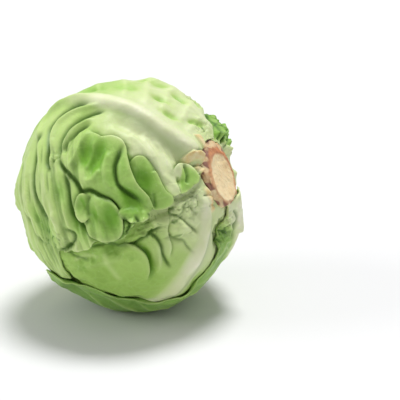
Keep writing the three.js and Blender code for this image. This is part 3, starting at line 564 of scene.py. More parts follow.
class Leaf:
    """A sheet of the head. Midrib and margins are (polar, longitude) pairs, as in the CAD."""

    def __init__(self, name, level, start, end, midrib, low, high, rib, waves, **more):
        self.name, self.level, self.start, self.end = name, level, start, end
        self.midrib, self.low, self.high = midrib, low, high
        self.rib_height, self.rib_width = rib
        self.wave_height, self.wave_count, self.lift = waves
        vars(self).update(LEAF_DEFAULTS | more)
        if self.veins:
            self.folds = self.folds + self.side_veins(*self.veins)

    def side_veins(self, count, first, step, sweep, height, width):
        """Side veins from the midrib to both margins, each with a few branches."""
        made = []
        for i in range(count):
            start = first + i * step
            for margin in (self.low, self.high):
                places = []
                for share in VEIN_STOPS:
                    polar = start + sweep * share**1.3
                    middle = through(self.midrib, start + 4 * share)
                    places.append([polar, middle + share * (through(margin, polar) - middle)])
                made.append(Fold("vein", height, width, spots(*places)))
                (p1, b1), (p2, b2) = places[1], places[2]
                bend = [[p1, b1], [p1 - 0.3 * step, (b1 + b2) / 2], [p2 - 0.8 * step, b2 + 0.2 * (b2 - b1)]]
                made.append(Fold("vein", 0.5 * height, 0.6 * width, spots(*bend)))
        return made

    def end_at(self, q):
        back, power = self.corner
        return self.end - back * np.abs(q) ** power + END_WAVE * np.sin(self.wave_count * q + self.end)

    def place(self, s, q):
        polar = self.start + s * (self.end_at(q) - self.start)
        middle = through(self.midrib, polar)
        margin = np.where(q < 0, through(self.low, polar), through(self.high, polar))
        return polar, middle + np.abs(q) * (margin - middle)

    def shares(self, polar, longitude):
        middle = through(self.midrib, polar)
        away = longitude - middle
        away = away - 360 * np.round(away / 360)
        margin = np.where(away < 0, through(self.low, polar), through(self.high, polar))
        q = away / np.abs(margin - middle)
        end = self.end_at(np.clip(q, -1, 1))
        return q, (polar - self.start) / (end - self.start), away, end

    def outside(self, polar, longitude):
        """How far a place lies past the margins, in millimetres."""
        q, s, away, end = self.shares(polar, longitude)
        past = np.abs(away) * (1 - 1 / np.maximum(np.abs(q), 1)) * MM_PER_DEGREE * np.sin(np.radians(polar))
        beyond = np.maximum(s - 1, 0) * (end - self.start) * MM_PER_DEGREE
        before = np.maximum(self.start - UNDERLAP_START - polar, 0) * MM_PER_DEGREE
        return np.maximum(np.maximum(past, beyond), before)

    def rib(self, polar, longitude):
        """The midrib's height, with its steeper flank on the low side, and how white the leaf is there."""
        away = self.shares(polar, longitude)[2]
        fade = through(RIB_FADE, polar)
        width = self.rib_width * (0.45 + 0.55 * fade)
        across = np.abs(away) * MM_PER_DEGREE * np.sin(np.radians(polar))
        reach = self.white_share * width * np.where(away < 0, 1.3, 1)
        white = np.exp(-((across / reach) ** 3)) * smoothstep(fade, 0.25, 0.62)
        flank = np.where(away < 0, 0.82, 1.15) * width
        return self.rib_height * fade * np.exp(-((across / flank) ** np.where(away < 0, 2.8, 2))), white

    def painted_flank_shade(self, polar, longitude):
        """Painted shade: an olive darkening along the low side of the midrib, which faces away from the
        light.
        """
        if not self.rib_height:
            return 0.0
        away = self.shares(polar, longitude)[2]
        across = -away * MM_PER_DEGREE * np.sin(np.radians(polar))
        fade = smoothstep(polar, 22, 32) * (1 - smoothstep(polar, 60, 96))
        return FLANK_PAINTED_SHADE * fade * bell(across - 0.95 * self.rib_width, 0.5 * self.rib_width)

    def crumpled(self, points, marks):
        """The height of the crumpled stretches, with painted shade in their troughs and a painted highlight
        on their crests.
        """
        height = np.zeros(len(points))
        for middle, reach, size, deep in self.crumples:
            weight = bell(np.linalg.norm(points - HEAD_RADIUS * middle[0], axis=1), reach)
            fold = np.abs(noise(points, size, self.seed + 20))
            fold = fold + 0.5 * np.abs(noise(points, size / 2, self.seed + 21))
            height += weight * deep * (2 * fold - 0.7)
            # Painted shade in the troughs and a painted highlight on the crests
            marks[:, 0] += 0.9 * weight * (1 - smoothstep(fold, 0.05, 0.25))
            marks[:, 1] += 0.25 * weight * smoothstep(fold, 0.4, 0.75)
        return height

    def streaked(self, polar, longitude, q, marks):
        """The height of fine streaks that run round the far half of the front blade, with painted shade in
        their troughs and a painted highlight on their ridges.
        """
        lines = np.stack([np.ravel(polar) / 1.7, np.ravel(longitude) / 16, np.zeros(polar.size)], axis=-1)
        streak = noise(lines, 1, self.seed + 30) + 0.4 * noise(1.9 * lines, 1, self.seed + 31)
        streak *= np.ravel(smoothstep(polar, 60, 84) * smoothstep(-q, 0.2, 0.45))
        # Painted shade in the troughs and a painted highlight on the ridges
        marks[:, 0] += 0.5 * smoothstep(-streak, 0.15, 0.8)
        marks[:, 1] += 0.4 * smoothstep(streak, 0.2, 0.8)
        return self.streaks * streak

    def free(self, polar, longitude):
        """The sheet's own height, before the leaves over it press it down."""
        directions = outward(polar, longitude).reshape(-1, 3)
        shape = np.shape(polar)
        height, lean, marks = folded(self.folds, directions)
        q, s, _, _ = self.shares(polar, longitude)
        margin = np.clip(np.maximum(np.abs(q), s), 0, 1.05)
        near = smoothstep(margin, 0.8, 1)
        turn = self.wave_count * np.where(np.abs(q) > s, 2 * s, q)
        wave = self.wave_height * np.sin(2.6 * turn + self.level)
        points = directions * HEAD_RADIUS
        frill = noise(points, FRILL_SIZES[0], self.seed) + 0.5 * noise(points, FRILL_SIZES[1], self.seed + 1)
        crinkle = np.zeros(len(points))
        for k, (size, deep) in enumerate(CRINKLES):
            crinkle += deep * noise(points, size, self.seed + 2 + k)
        crinkle += self.crumpled(points, marks)
        if self.streaks:
            crinkle += self.streaked(polar, longitude, q, marks)
        radius = head_radius(polar)
        if self.rib_height:
            radius = radius + BASE_RISE * (1 - smoothstep(polar, self.start, BASE_REACH))
        radius = radius - self.level + height.reshape(shape) + crinkle.reshape(shape)
        radius += near * (wave + self.lift) + 0.7 * self.wave_height * near**2 * frill.reshape(shape)
        return radius, lean, np.clip(marks, 0, 1)

    def face(self, polar, longitude):
        """The outer face without the midrib, and what free() says."""
        radius, lean, marks = self.free(polar, longitude)
        rib = self.rib(polar, longitude)[0] if self.rib_height else 0.0
        room = limit_at(polar, longitude) - rib
        pressed = rounded_min(radius, room, PRESS_ROUNDING)
        return np.minimum(pressed, floor_radius(outward(polar, longitude))), lean, marks


TOP_LEAF = Leaf(
    "wrapper_leaf_top", 0.6, 17.6, 141,
    [
        [18, 36], [24, 40], [30, 42], [37, 45], [43, 48], [50, 52], [58, 55], [68, 57],
        [80, 60], [100, 64], [115, 64], [150, 60],
    ],
    [
        [17.6, 9], [21, 1], [26, -5], [30, -8], [38, -9], [45, -12], [52, -12], [58, -13], [64, -15],
        [70, -19], [77, -19], [83, -16], [87, -18], [95, -18], [104, -16], [106, -19], [107.5, -26],
        [109.5, -33], [114, -37], [125, -38], [150, -44],
    ],
    [[20, 104], [28, 111], [37, 115], [48, 124], [60, 132], [80, 136], [110, 136], [150, 130]],
    (6.0, 8.5), (1.3, 6, 0.8),
    folds=TOP_LEAF_FOLDS + TOP_LEAF_VEINS, grid=(270, 196, 88), seed=11, green=(0.3, 0.5, 0.1),
    pale_from=50, pale_to=104, streaks=0.9, far_pale=0.5, high_pale=0.92,
    lobes_below=[
        [20, -12], [26, 9], [30, 10], [34, -5], [40, -7], [44, 3], [50, 19], [56, 20], [60, 26], [71, 33],
        [78, 39], [90, 45], [104, 50],
    ],
    crumples=[
        (seen((133, 225)), 10, 4, 0.8), (seen((191, 105)), 9, 4, 1.2), (seen((201, 130)), 8, 4, 1.0),
        (seen((66, 246)), 8, 4, 1.0), (seen((50, 238)), 8, 4, 0.6), (seen((52, 160)), 5, 3, 0.9),
    ],
)
LEAVES = [
    Leaf(
        "wrapper_leaf_under", 0.4, 18.6, 143,
        [[20, -120], [60, -124], [100, -126], [150, -122]],
        [[20, -146], [30, -154], [45, -168], [60, -180], [100, -192], [150, -185]],
        [
            [20, -88], [40, -88], [60, -84], [74, -77], [85, -68], [92, -60], [96, -54], [101, -47],
            [106, -41], [113, -37], [117, -33], [122, -27], [129, -19], [150, -6],
        ],
        (5.4, 8), (1.4, 5, 0.4), corner=(28, 5), folds=UNDER_LEAF_FOLDS,
        crumples=[(seen((225, 226)), 12, 5, 2.2), (seen((219, 240)), 10, 5, 1.8)],
        veins=(6, 32, 13, 24, 0.9, 2.2), grid=(190, 80, 100), seed=23, green=(0.2, 0.38, 0.06), pale_to=34,
    ),
    TOP_LEAF,
    Leaf(
        "wrapper_leaf_lower", 1, 19, 132,
        [
            [20, -34], [25, -38], [28, -46], [31, -52], [35, -57], [39, -60], [46, -63], [60, -66],
            [90, -70], [150, -72],
        ],
        [[20, -104], [35, -122], [60, -134], [90, -138], [150, -138]],
        [[20, 4], [40, 8], [80, 8], [110, 4], [150, 0]],
        (5.0, 7.5), (1, 5, 0.4),
        folds=LOWER_LEAF_FOLDS, grid=(230, 70, 180), seed=37, green=(0.27, 0.45, 0.075),
        pale_from=42, pale_to=72, pale_share=0.7, white_share=1.8,
        crumples=[
            (seen((178, 207)), 9, 6, 2.2), (seen((193, 201)), 8, 5, 1.6), (seen((178, 226)), 14, 11, 1.2),
            (seen((150, 226)), 9, 4, 1.2), (seen((58, 268)), 10, 5, 1.2),
        ],
    ),
    Leaf(
        "wrapper_leaf_back", 1, 17.8, 138,
        [[20, 198], [35, 190], [60, 180], [100, 174], [150, 172]],
        [[20, 104], [40, 100], [80, 96], [150, 100]],
        [[20, 222], [40, 230], [80, 234], [150, 226]],
        (6.6, 7.5), (1.2, 5, 0.4), folds=BACK_LEAF_FOLDS,
        veins=(6, 30, 14, 24, 1.0, 2.4), grid=(220, 160, 60), seed=41, green=(0.21, 0.42, 0.05),
        pale_from=14, pale_to=22, crumples=[(seen((212, 116)), 16, 6, 2.4), (seen((226, 142)), 14, 6, 2.4)],
    ),
    Leaf(
        "wrapper_leaf_front", 2.6, 20, 163,
        [[20, 6], [90, 6], [150, 10], [170, 14]],
        [[20, -26], [50, -50], [100, -62], [140, -74], [170, -80]],
        [[20, 40], [50, 66], [100, 76], [140, 88], [170, 92]],
        (3.6, 6.5), (0.8, 4, 0.2),
        veins=(5, 40, 20, 22, 0.8, 2.2), grid=(160, 50, 50), seed=53, green=(0.34, 0.52, 0.15),
    ),
]
HEART = Leaf(
    "heart", 3.6, 0, 200, [[0, 0]], [[0, -180]], [[0, 180]], (0, 1), (0, 0, 0),
    folds=HEART_FOLDS, grid=(170, 180, 180), seed=67, green=(0.44, 0.6, 0.22), pale_to=40,
)

# The map of how far out a sheet may lie, in whole degrees. Each leaf lowers it for the ones inside it.
MAP_POLAR, MAP_LONGITUDE = np.meshgrid(np.arange(181.0), np.arange(360.0), indexing="ij")
MAP_REACH = 2
WIDEST_SPREAD = 90
limit = floor_radius(outward(MAP_POLAR, MAP_LONGITUDE))


def limit_at(polar, longitude):
    y = np.clip(polar, 0, 179.999)
    i = np.floor(y).astype(int)
    j = np.floor(longitude).astype(int)
    v, u = y - i, longitude - j
    low = limit[i, j % 360] * (1 - u) + limit[i, (j + 1) % 360] * u
    high = limit[i + 1, j % 360] * (1 - u) + limit[i + 1, (j + 1) % 360] * u
    return low * (1 - v) + high * v


def press_down(leaf):
    """Lowers the map under a leaf, and by less and less past its margins."""
    face = leaf.face(MAP_POLAR, MAP_LONGITUDE)[0]
    past = leaf.outside(MAP_POLAR, MAP_LONGITUDE)
    ramp = TOP_LEAF_RAMP if leaf is TOP_LEAF else UNDERLAP_RAMP
    inner = face - LEAF_THICKNESS - LEAF_GAP + ramp * np.maximum(past - UNDERLAP_START, 0)
    inner = np.where(past > UNDERLAP_REACH, FAR, inner)
    rows = len(inner)
    for i in range(rows):
        spread = min(WIDEST_SPREAD, math.ceil(MAP_REACH / max(math.sin(math.radians(i)), 0.02)))
        lowest = inner[max(i - MAP_REACH, 0) : i + MAP_REACH + 1].min(axis=0)
        wide = lowest
        for b in range(-spread, spread + 1):
            wide = np.minimum(wide, np.roll(lowest, b))
        limit[i] = np.minimum(limit[i], wide)


# Meshes
TEAR_SIZES = (6, 2.4)
TEAR_FROM = 0.86  # the share of a leaf that stays whole
SIDE_TEAR = 0.9
END_TEAR = 0.6


def add_mesh(name, points, faces, marks, material):
    """A mesh object from points in millimetres, with its marks for the material."""
    mesh = bpy.data.meshes.new(name)
    mesh.from_pydata((np.asarray(points) * MM).tolist(), [], faces)
    mesh.validate()
    layer = mesh.attributes.new("marks", "FLOAT_COLOR", "POINT")
    layer.data.foreach_set("color", np.asarray(marks, np.float32).ravel())
    mesh.polygons.foreach_set("use_smooth", [True] * len(mesh.polygons))
    mesh.materials.append(material)
    piece = bpy.data.objects.new(name, mesh)
    bpy.context.collection.objects.link(piece)
    return piece


def quads(grid, flip=False):
    """Four-sided faces between the points of a grid, turned the other way round when flipped."""
    corners = [grid[:-1, :-1], grid[:-1, 1:], grid[1:, 1:], grid[1:, :-1]]
    if flip:
        corners = corners[:1] + corners[:0:-1]
    return np.stack(corners, axis=-1).reshape(-1, 4).tolist()


def stitched(top, base, flip):
    """Faces between a fine border and one with half as many steps."""
    faces = []
    for k in range(len(base) - 1):
        a, b, c = top[2 * k], top[2 * k + 1], top[2 * k + 2]
        d, e = base[k], base[k + 1]
        for face in ((a, b, d), (b, c, e), (b, e, d)):
            faces.append(face if flip else face[::-1])
    return faces


def pooled_min(values):
    """The lowest value near every second place of a grid."""
    wide = values.copy()
    for di in range(-2, 3):
        for dj in range(-2, 3):
            wide = np.minimum(wide, np.roll(np.roll(values, di, 0), dj, 1))
    wide[:2], wide[-2:], wide[:, :2], wide[:, -2:] = values[:2], values[-2:], values[:, :2], values[:, -2:]
    return wide[::2, ::2]


PLAIN_GREEN = 0.3


def pale_mark(pale, hollow_shade):
    """One mark for both: PLAIN_GREEN is the leaf's own green, 1 is cream, and 0 is painted shade in hollows,
    as a deep green.
    """
    return np.clip(PLAIN_GREEN + (1 - PLAIN_GREEN) * np.clip(pale, 0, 1) - 0.55 * hollow_shade, 0, 1)


def torn_places(leaf, S, Q):
    """The leaf's places, torn a little at its margins, and their points before the tearing."""
    polar, longitude = leaf.place(S, Q)
    base = outward(polar, longitude).reshape(-1, 3) * HEAD_RADIUS
    torn = noise(base, TEAR_SIZES[0], leaf.seed + 7) + 0.6 * noise(base, TEAR_SIZES[1], leaf.seed + 8)
    torn = torn.reshape(polar.shape) * smoothstep(np.maximum(np.abs(Q), S), TEAR_FROM, 1)
    round_head = MM_PER_DEGREE * np.maximum(np.sin(np.radians(polar)), 0.2)
    longitude = longitude + SIDE_TEAR * torn * np.sign(Q) / round_head
    polar = polar + END_TEAR * torn * (S > 0.5) / MM_PER_DEGREE
    return polar, longitude, base


def leaf_marks(leaf, S, Q, polar, longitude, base, marked, white):
    """What the leaf's material reads: how pale the sheet is, with painted shade in hollows; painted shade in
    creases and on the midrib's low flank; painted highlight on crests and margins, with the veins' own pale;
    and its tan stubs.
    """
    shape = polar.shape
    crease, rim, tan, hollow_shade = (mark.reshape(shape) for mark in marked.T)
    # Painted shade: in the creases, and on the midrib's low flank
    crease = np.clip(crease + leaf.painted_flank_shade(polar, longitude), 0, 1)
    blotch = polar + 7 * noise(base, 20, leaf.seed + 5).reshape(shape)
    near_stem = 1 - smoothstep(blotch, leaf.pale_from, leaf.pale_to)
    if leaf.lobes_below:
        near_stem = near_stem * smoothstep(longitude - through(leaf.lobes_below, polar), -4, 5)
    near_stem = near_stem * (1 - (1 - leaf.high_pale) * smoothstep(Q, 0.05, 0.3))
    front = smoothstep(blotch, 68, 92) * smoothstep(-Q, -0.1, 0.1)
    near_stem = np.maximum(near_stem, leaf.far_pale * front)
    # The cream round the stem and along the midrib is the leaf's own colour; the rims add a painted
    # highlight and the veins' own pale, and the hollows add painted shade
    pale = pale_mark(np.maximum(white, leaf.pale_share * near_stem) + 0.25 * rim, hollow_shade)
    # A painted highlight along the leaf's margin
    margin_highlight = smoothstep(np.maximum(np.abs(Q), S), 0.985, 1.0)
    return np.stack([pale, crease, np.clip(rim + margin_highlight, 0, 1), tan], axis=-1)


def sheet_faces(rows, columns):
    """Faces of a fine outer sheet, of an inner one with half as many steps, and of the rim between."""
    top = np.arange((rows + 1) * (columns + 1)).reshape(rows + 1, columns + 1)
    half = (rows // 2 + 1, columns // 2 + 1)
    under = top.size + np.arange(half[0] * half[1]).reshape(half)
    faces = quads(top) + quads(under, flip=True)
    faces += stitched(top[0], under[0], False)
    faces += stitched(top[-1], under[-1], True)
    faces += stitched(top[:, 0], under[:, 0], True)
    faces += stitched(top[:, -1], under[:, -1], False)
    return faces


def build_leaf(leaf):
    """The leaf's fine mesh: a full outer face, a coarser inner one, and a rim between them."""
    rows, low, high = (2 * round(n * GRID_SHARE / 2) for n in leaf.grid)
    across = np.arange(low + high + 1)
    q = np.where(across < low, across / low - 1, (across - low) / high)
    S, Q = np.meshgrid(np.arange(rows + 1) / rows, q, indexing="ij")
    polar, longitude, base = torn_places(leaf, S, Q)
    radius, lean, marked = leaf.face(polar, longitude)
    rib, white = leaf.rib(polar, longitude)
    out = outward(polar, longitude)
    outer = CENTRE + out * np.minimum(radius + rib, floor_radius(out))[..., None]
    outer = outer + lean.reshape(outer.shape)
    outer[..., 2] = np.maximum(outer[..., 2], 0)
    inner_radius = pooled_min(radius) - LEAF_THICKNESS
    inner = CENTRE + out[::2, ::2] * inner_radius[..., None]
    inner[..., 2] = np.maximum(inner[..., 2], LEAF_THICKNESS / 2)
    marks = leaf_marks(leaf, S, Q, polar, longitude, base, marked, white)
    points = np.vstack([outer.reshape(-1, 3), inner.reshape(-1, 3)])
    all_marks = np.vstack([marks.reshape(-1, 4), marks[::2, ::2].reshape(-1, 4)])
    faces = sheet_faces(rows, low + high)
    piece = add_mesh(leaf.name + "_blade", points, faces, all_marks, leaf_material(leaf))
    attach(piece, "root")
    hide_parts(leaf.name)
    return piece


def rings_to_faces(rows, columns, first, last):
    """Faces between closed rings of points, and fans to a point at each end."""
    index = np.arange(rows * columns).reshape(rows, columns)
    turned = np.roll(index, -1, axis=1)
    faces = quads(np.hstack([index, index[:, :1]]))
    faces += [(first, turned[0, j], index[0, j]) for j in range(columns)]
    faces += [(index[-1, j], turned[-1, j], last) for j in range(columns)]
    return faces


# The heart, and the stem's core as height along the stem axis and radius
STEM_CORE = [[59, 15], [48, 13.5], [34, 10.5], [22, 6.5]]
CORE_TIP = 18
SOCKET_GAP = 0.7
HEART_RIM = 18.5
STUMP_FOOT = 60.6
STUMP_CLEARANCE = 1.6
STUMP_SHADOW = 26  # how far out the heart stays below the stump's foot, in degrees
TIP_GAP = 2


def build_heart():
    """The heart, with its socket for the stem's core."""
    rows, columns = (round(n * GRID_SHARE) for n in (HEART.grid[0], HEART.grid[1] * 2))
    longitude = np.arange(columns) * 360 / columns
    polar = HEART_RIM + (180 - HEART_RIM) * np.arange(rows) / rows
    P, B = np.meshgrid(polar, longitude, indexing="ij")
    radius, lean, marked = HEART.face(P, B)
    under_stump = (STUMP_FOOT - STUMP_CLEARANCE) / np.maximum(np.cos(np.radians(P)), 0.1)
    radius = np.where(P < STUMP_SHADOW, np.minimum(radius, under_stump), radius)
    outer = CENTRE + outward(P, B) * radius[..., None] + lean.reshape(P.shape + (3,))
    socket = [stem_points(h, np.full(columns, r + SOCKET_GAP), longitude) for h, r in reversed(STEM_CORE)]
    points = np.vstack([np.vstack(socket), outer.reshape(-1, 3)])
    total = len(points)
    far = CENTRE + outward(180, 0) * HEART.face(np.array([180.0]), np.array([0.0]))[0][0]
    points = np.vstack([points, CENTRE + stem_axis * (CORE_TIP - TIP_GAP), far])
    crease, rim, tan, hollow_shade = marked.T
    # The rims make the heart paler: a painted highlight at its leaves' edges and the veins' own pale; the
    # creases carry painted shade at the foot of the edges
    marks = np.stack([pale_mark(0.3 + 0.4 * rim, hollow_shade), crease, rim, tan], axis=-1)
    marks = np.vstack([np.zeros((total - len(marks), 4)), marks, np.zeros((2, 4))])
    faces = rings_to_faces(total // columns, columns, total, total + 1)
    piece = add_mesh("heart_leaves", points, faces, marks, leaf_material(HEART))
    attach(piece, "root")
    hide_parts("heart")
    return piece


# The stem
STUMP_RADII = (20.0, 18.5)
STUMP_PROFILE = [
    # height along the stem axis, share of the oval
    [73.9, 0.04], [73.9, 0.3], [74, 0.55], [74.2, 0.76], [74.4, 0.85], [74.2, 0.9], [73.7, 0.94],
    [73, 0.97], [72.3, 1.0], [71.5, 1.05], [70.7, 1.1], [69.8, 1.14], [68.6, 1.17], [66.5, 1.17],
    [64, 1.1], [STUMP_FOOT, 0.9],
]
STUMP_LEAN = (1.6, -3.6, 67)  # how far the cut is shifted, towards the viewer and up, and from what height
STUMP_SEED = 5
STUMP_ROWS, STUMP_COLUMNS = 170, 360
RUST_SIDE = 120  # the angle where the browned rim is widest
CUT_DIP = 0.9  # how far the middle of the cut has dried in
SCARS = [
    # angle round the stem, height along it, how far it stands out, half-width in degrees, half-height
    [8, 71.6, 1.6, 10, 1.4], [40, 72, 1.8, 11, 1.4], [66, 72.4, 1.6, 11, 1.4], [98, 71.6, 2.0, 13, 1.8],
    [128, 70, 1.6, 12, 2.0], [160, 71, 1.6, 12, 2.0], [186, 70, 2.0, 12, 2.2], [222, 71, 3.0, 15, 2.2],
    [270, 72, 1.8, 9, 1.6], [292, 71.4, 2.4, 10, 1.8], [312, 72.6, 1.6, 8, 1.2],
    [334, 71.4, 2.2, 9, 1.4], [350, 73, 1.4, 8, 0.9], [24, 70.6, 1.6, 9, 1.2], [322, 70.6, 2.0, 9, 1.2],
    [283, 73.2, 1.2, 7, 0.9], [80, 73.2, 1.2, 9, 0.8],
]
PALE_KNOBS = [[218, 30], [254, 14]]  # angle and half-width of the stretches that stay pale


def stem_points(height, radius, longitude):
    """Points round the stem axis, which bends a little towards the cut."""
    b = np.radians(longitude)
    height, radius = np.broadcast_arrays(height, radius)
    bend = np.maximum((height - STUMP_LEAN[2]) / (STUMP_PROFILE[0][0] - STUMP_LEAN[2]), 0)
    return (
        CENTRE
        + height[..., None] * stem_axis
        + (radius * np.cos(b) + bend * STUMP_LEAN[0])[..., None] * facing
        + (radius * np.sin(b) + bend * STUMP_LEAN[1])[..., None] * upward
    )


def turn_from(longitude, angle):
    """How far each longitude lies from an angle, the short way round."""
    away = longitude - angle
    return away - 360 * np.round(away / 360)


def build_stem():
    """The cut stump with its scars, running into the core."""
    columns = round(STUMP_COLUMNS * GRID_SHARE)
    longitude = np.arange(columns) * 360 / columns
    b = np.radians(longitude)
    oval = np.hypot(STUMP_RADII[1] * np.cos(b), STUMP_RADII[0] * np.sin(b))
    profile = np.array(STUMP_PROFILE)
    steps = np.linspace(0, len(profile) - 1, round(STUMP_ROWS * GRID_SHARE))
    heights = np.interp(steps, np.arange(len(profile)), profile[:, 0])
    widths = np.interp(steps, np.arange(len(profile)), profile[:, 1])
    H, W = heights[:, None], widths[:, None]
    radius = oval * W
    places = stem_points(H, radius, longitude)
    slant = 0.8 * noise(places, 9, STUMP_SEED + 7)
    scars = np.zeros_like(radius)
    for angle, level, stand, half_angle, half_height in SCARS:
        along = np.exp(-((np.abs(H + slant - level) / half_height) ** 3))
        scars = scars + stand * bell(turn_from(longitude, angle), half_angle) * along
    on_side = smoothstep(steps, 4.6, 6.5)[:, None]
    ragged = 0.8 * noise(places, 6, STUMP_SEED) + 0.5 * noise(places, 2.6, STUMP_SEED + 1)
    lumps = noise(places, 4.2, STUMP_SEED + 8) + 0.5 * noise(places, 1.9, STUMP_SEED + 9)
    radius = radius + smoothstep(W, 0.6, 0.95) * ragged + (scars + 0.9 * lumps) * on_side
    rough = 0.3 * noise(places, 3.5, STUMP_SEED + 3) + 0.16 * noise(places, 1.4, STUMP_SEED + 4)
    dish = -CUT_DIP * (1 - smoothstep(W, 0.45, 0.9)) * (1 - on_side)
    points = stem_points(H + dish + rough, radius, longitude)
    core = np.array([stem_points(h, np.full(columns, r), longitude) for h, r in STEM_CORE])
    cut = (1 - on_side) * np.ones_like(radius)
    top = 0.5 + 0.5 * np.cos(np.radians(longitude - RUST_SIDE))
    ring = smoothstep(W + 0.05 * noise(places, 6, STUMP_SEED + 5), 0.84 - 0.16 * top, 0.91 - 0.06 * top)
    brown = np.clip((1 - smoothstep(steps, 5.6, 7.4))[:, None] * ring * (0.5 + 0.5 * top), 0, 1)
    dark = on_side * smoothstep(0.5 * lumps + noise(places, 4.4, STUMP_SEED + 6) - 0.2 * scars, -0.3, 0.3)
    knob = np.zeros_like(radius)
    for angle, half_width in PALE_KNOBS:
        knob = knob + bell(turn_from(longitude, angle), half_width)
    knob = np.clip(knob * smoothstep(-H, -73.5, -71), 0, 1)
    marks = np.stack([cut, brown, dark * (1 - knob), knob], axis=-1).reshape(-1, 4)
    marks = np.vstack([marks, np.zeros((core.shape[0] * columns, 4)), [[1, 0, 0, 0], [0, 0, 0, 0]]])
    all_points = np.vstack([points.reshape(-1, 3), core.reshape(-1, 3)])
    total = len(all_points)
    ends = [stem_points(heights[0] - CUT_DIP, 0.0, 0.0), stem_points(CORE_TIP, 0.0, 0.0)]
    faces = rings_to_faces(total // columns, columns, total, total + 1)
    piece = add_mesh("stem_stump", np.vstack([all_points, ends]), faces, marks, stem_material())
    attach(piece, "root")
    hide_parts("stem")
    return piece


# Materials
# Tones of a leaf's own green, as shares of it. The crease tone is painted shade; the fresh and dull tones
# vary at random.
CREASE_SHADE_SHARES = (0.22, 0.34, 0.15)  # shades of a leaf's own green, as shares of it
FRESH_SHARES = (1.36, 1.24, 1.6)
DULL_SHARES = (0.72, 0.82, 0.62)
# Painted shade in hollows, as a deeper green
HOLLOW_SHADE_SHARES = (0.58, 0.78, 0.3)
CREAM = (0.66, 0.72, 0.4), (0.8, 0.81, 0.58)
LIME = (0.4, 0.58, 0.15), (0.53, 0.67, 0.25)
BARK = (0.7, 0.5, 0.2), (0.8, 0.7, 0.42)
# Painted highlight on crests and margins, and the veins' own pale green
HIGHLIGHT_AND_VEIN_GREEN = (0.6, 0.74, 0.3)
WAX_SPECK = (0.78, 0.84, 0.62)
STUMP_SIDE = (0.62, 0.38, 0.18), (0.78, 0.66, 0.4)
STUMP_DARK = (0.27, 0.13, 0.09)
STUMP_KNOB = (0.7, 0.74, 0.48), (0.84, 0.82, 0.62)
STUMP_FLESH = (0.8, 0.6, 0.32), (0.84, 0.7, 0.43)
STUMP_RUST = (0.62, 0.25, 0.1), (0.42, 0.15, 0.06)
GLOW = 0.1  # how much of the light comes back from under the surface


def shaded(colour, shares):
    return tuple(min(c * k, 1) for c, k in zip(colour, shares))


class Nodes:
    """A short way to build a material's nodes."""

    def __init__(self, name):
        self.material = bpy.data.materials.new(name)
        self.material.use_nodes = True
        self.tree = self.material.node_tree
        self.tree.nodes.clear()

    def add(self, kind, inputs=(), **settings):
        made = self.tree.nodes.new("ShaderNode" + kind)
        for key, value in settings.items():
            setattr(made, key, value)
        for key, value in dict(inputs).items():
            if isinstance(value, bpy.types.NodeSocket):
                self.tree.links.new(value, made.inputs[key])
            else:
                made.inputs[key].default_value = value
        return made

    def mix(self, share, a, b, blend="MIX"):
        made = self.add("Mix", data_type="RGBA", blend_type=blend)
        for key, value in ((0, share), (6, a), (7, b)):
            if isinstance(value, bpy.types.NodeSocket):
                self.tree.links.new(value, made.inputs[key])
            else:
                made.inputs[key].default_value = value if key == 0 else (*value, 1)
        return made.outputs[2]

    def math(self, operation, a, b, clamp=True):
        return self.add("Math", {0: a, 1: b}, operation=operation, use_clamp=clamp).outputs[0]

    def noise(self, where, scale, detail=3.0):
        return self.add("TexNoise", {"Vector": where, "Scale": scale, "Detail": detail}).outputs["Fac"]

    def ramp(self, value, low, high):
        made = self.add("MapRange", {"Value": value, "From Min": low, "From Max": high})
        return made.outputs["Result"]

    def finish(self, colour, rough, bump, glow_radius, **more):
        """Adds the shader and gives back the material."""
        inputs = {
            "Base Color": colour,
            "Roughness": rough.outputs["Result"],
            "Normal": bump.outputs["Normal"],
            "Subsurface Weight": GLOW,
            "Subsurface Radius": glow_radius,
            "Subsurface Scale": 0.002,
        }
        shader = self.add("BsdfPrincipled", inputs | more)
        self.add("OutputMaterial", {"Surface": shader.outputs[0]})
        return self.material


def marks_of(n):
    """The four marks of a mesh: red, green, blue and alpha."""
    layer = n.add("Attribute", attribute_name="marks")
    parts = n.add("SeparateColor", {"Color": layer.outputs["Color"]}).outputs
    return parts["Red"], parts["Green"], parts["Blue"], layer.outputs["Alpha"]


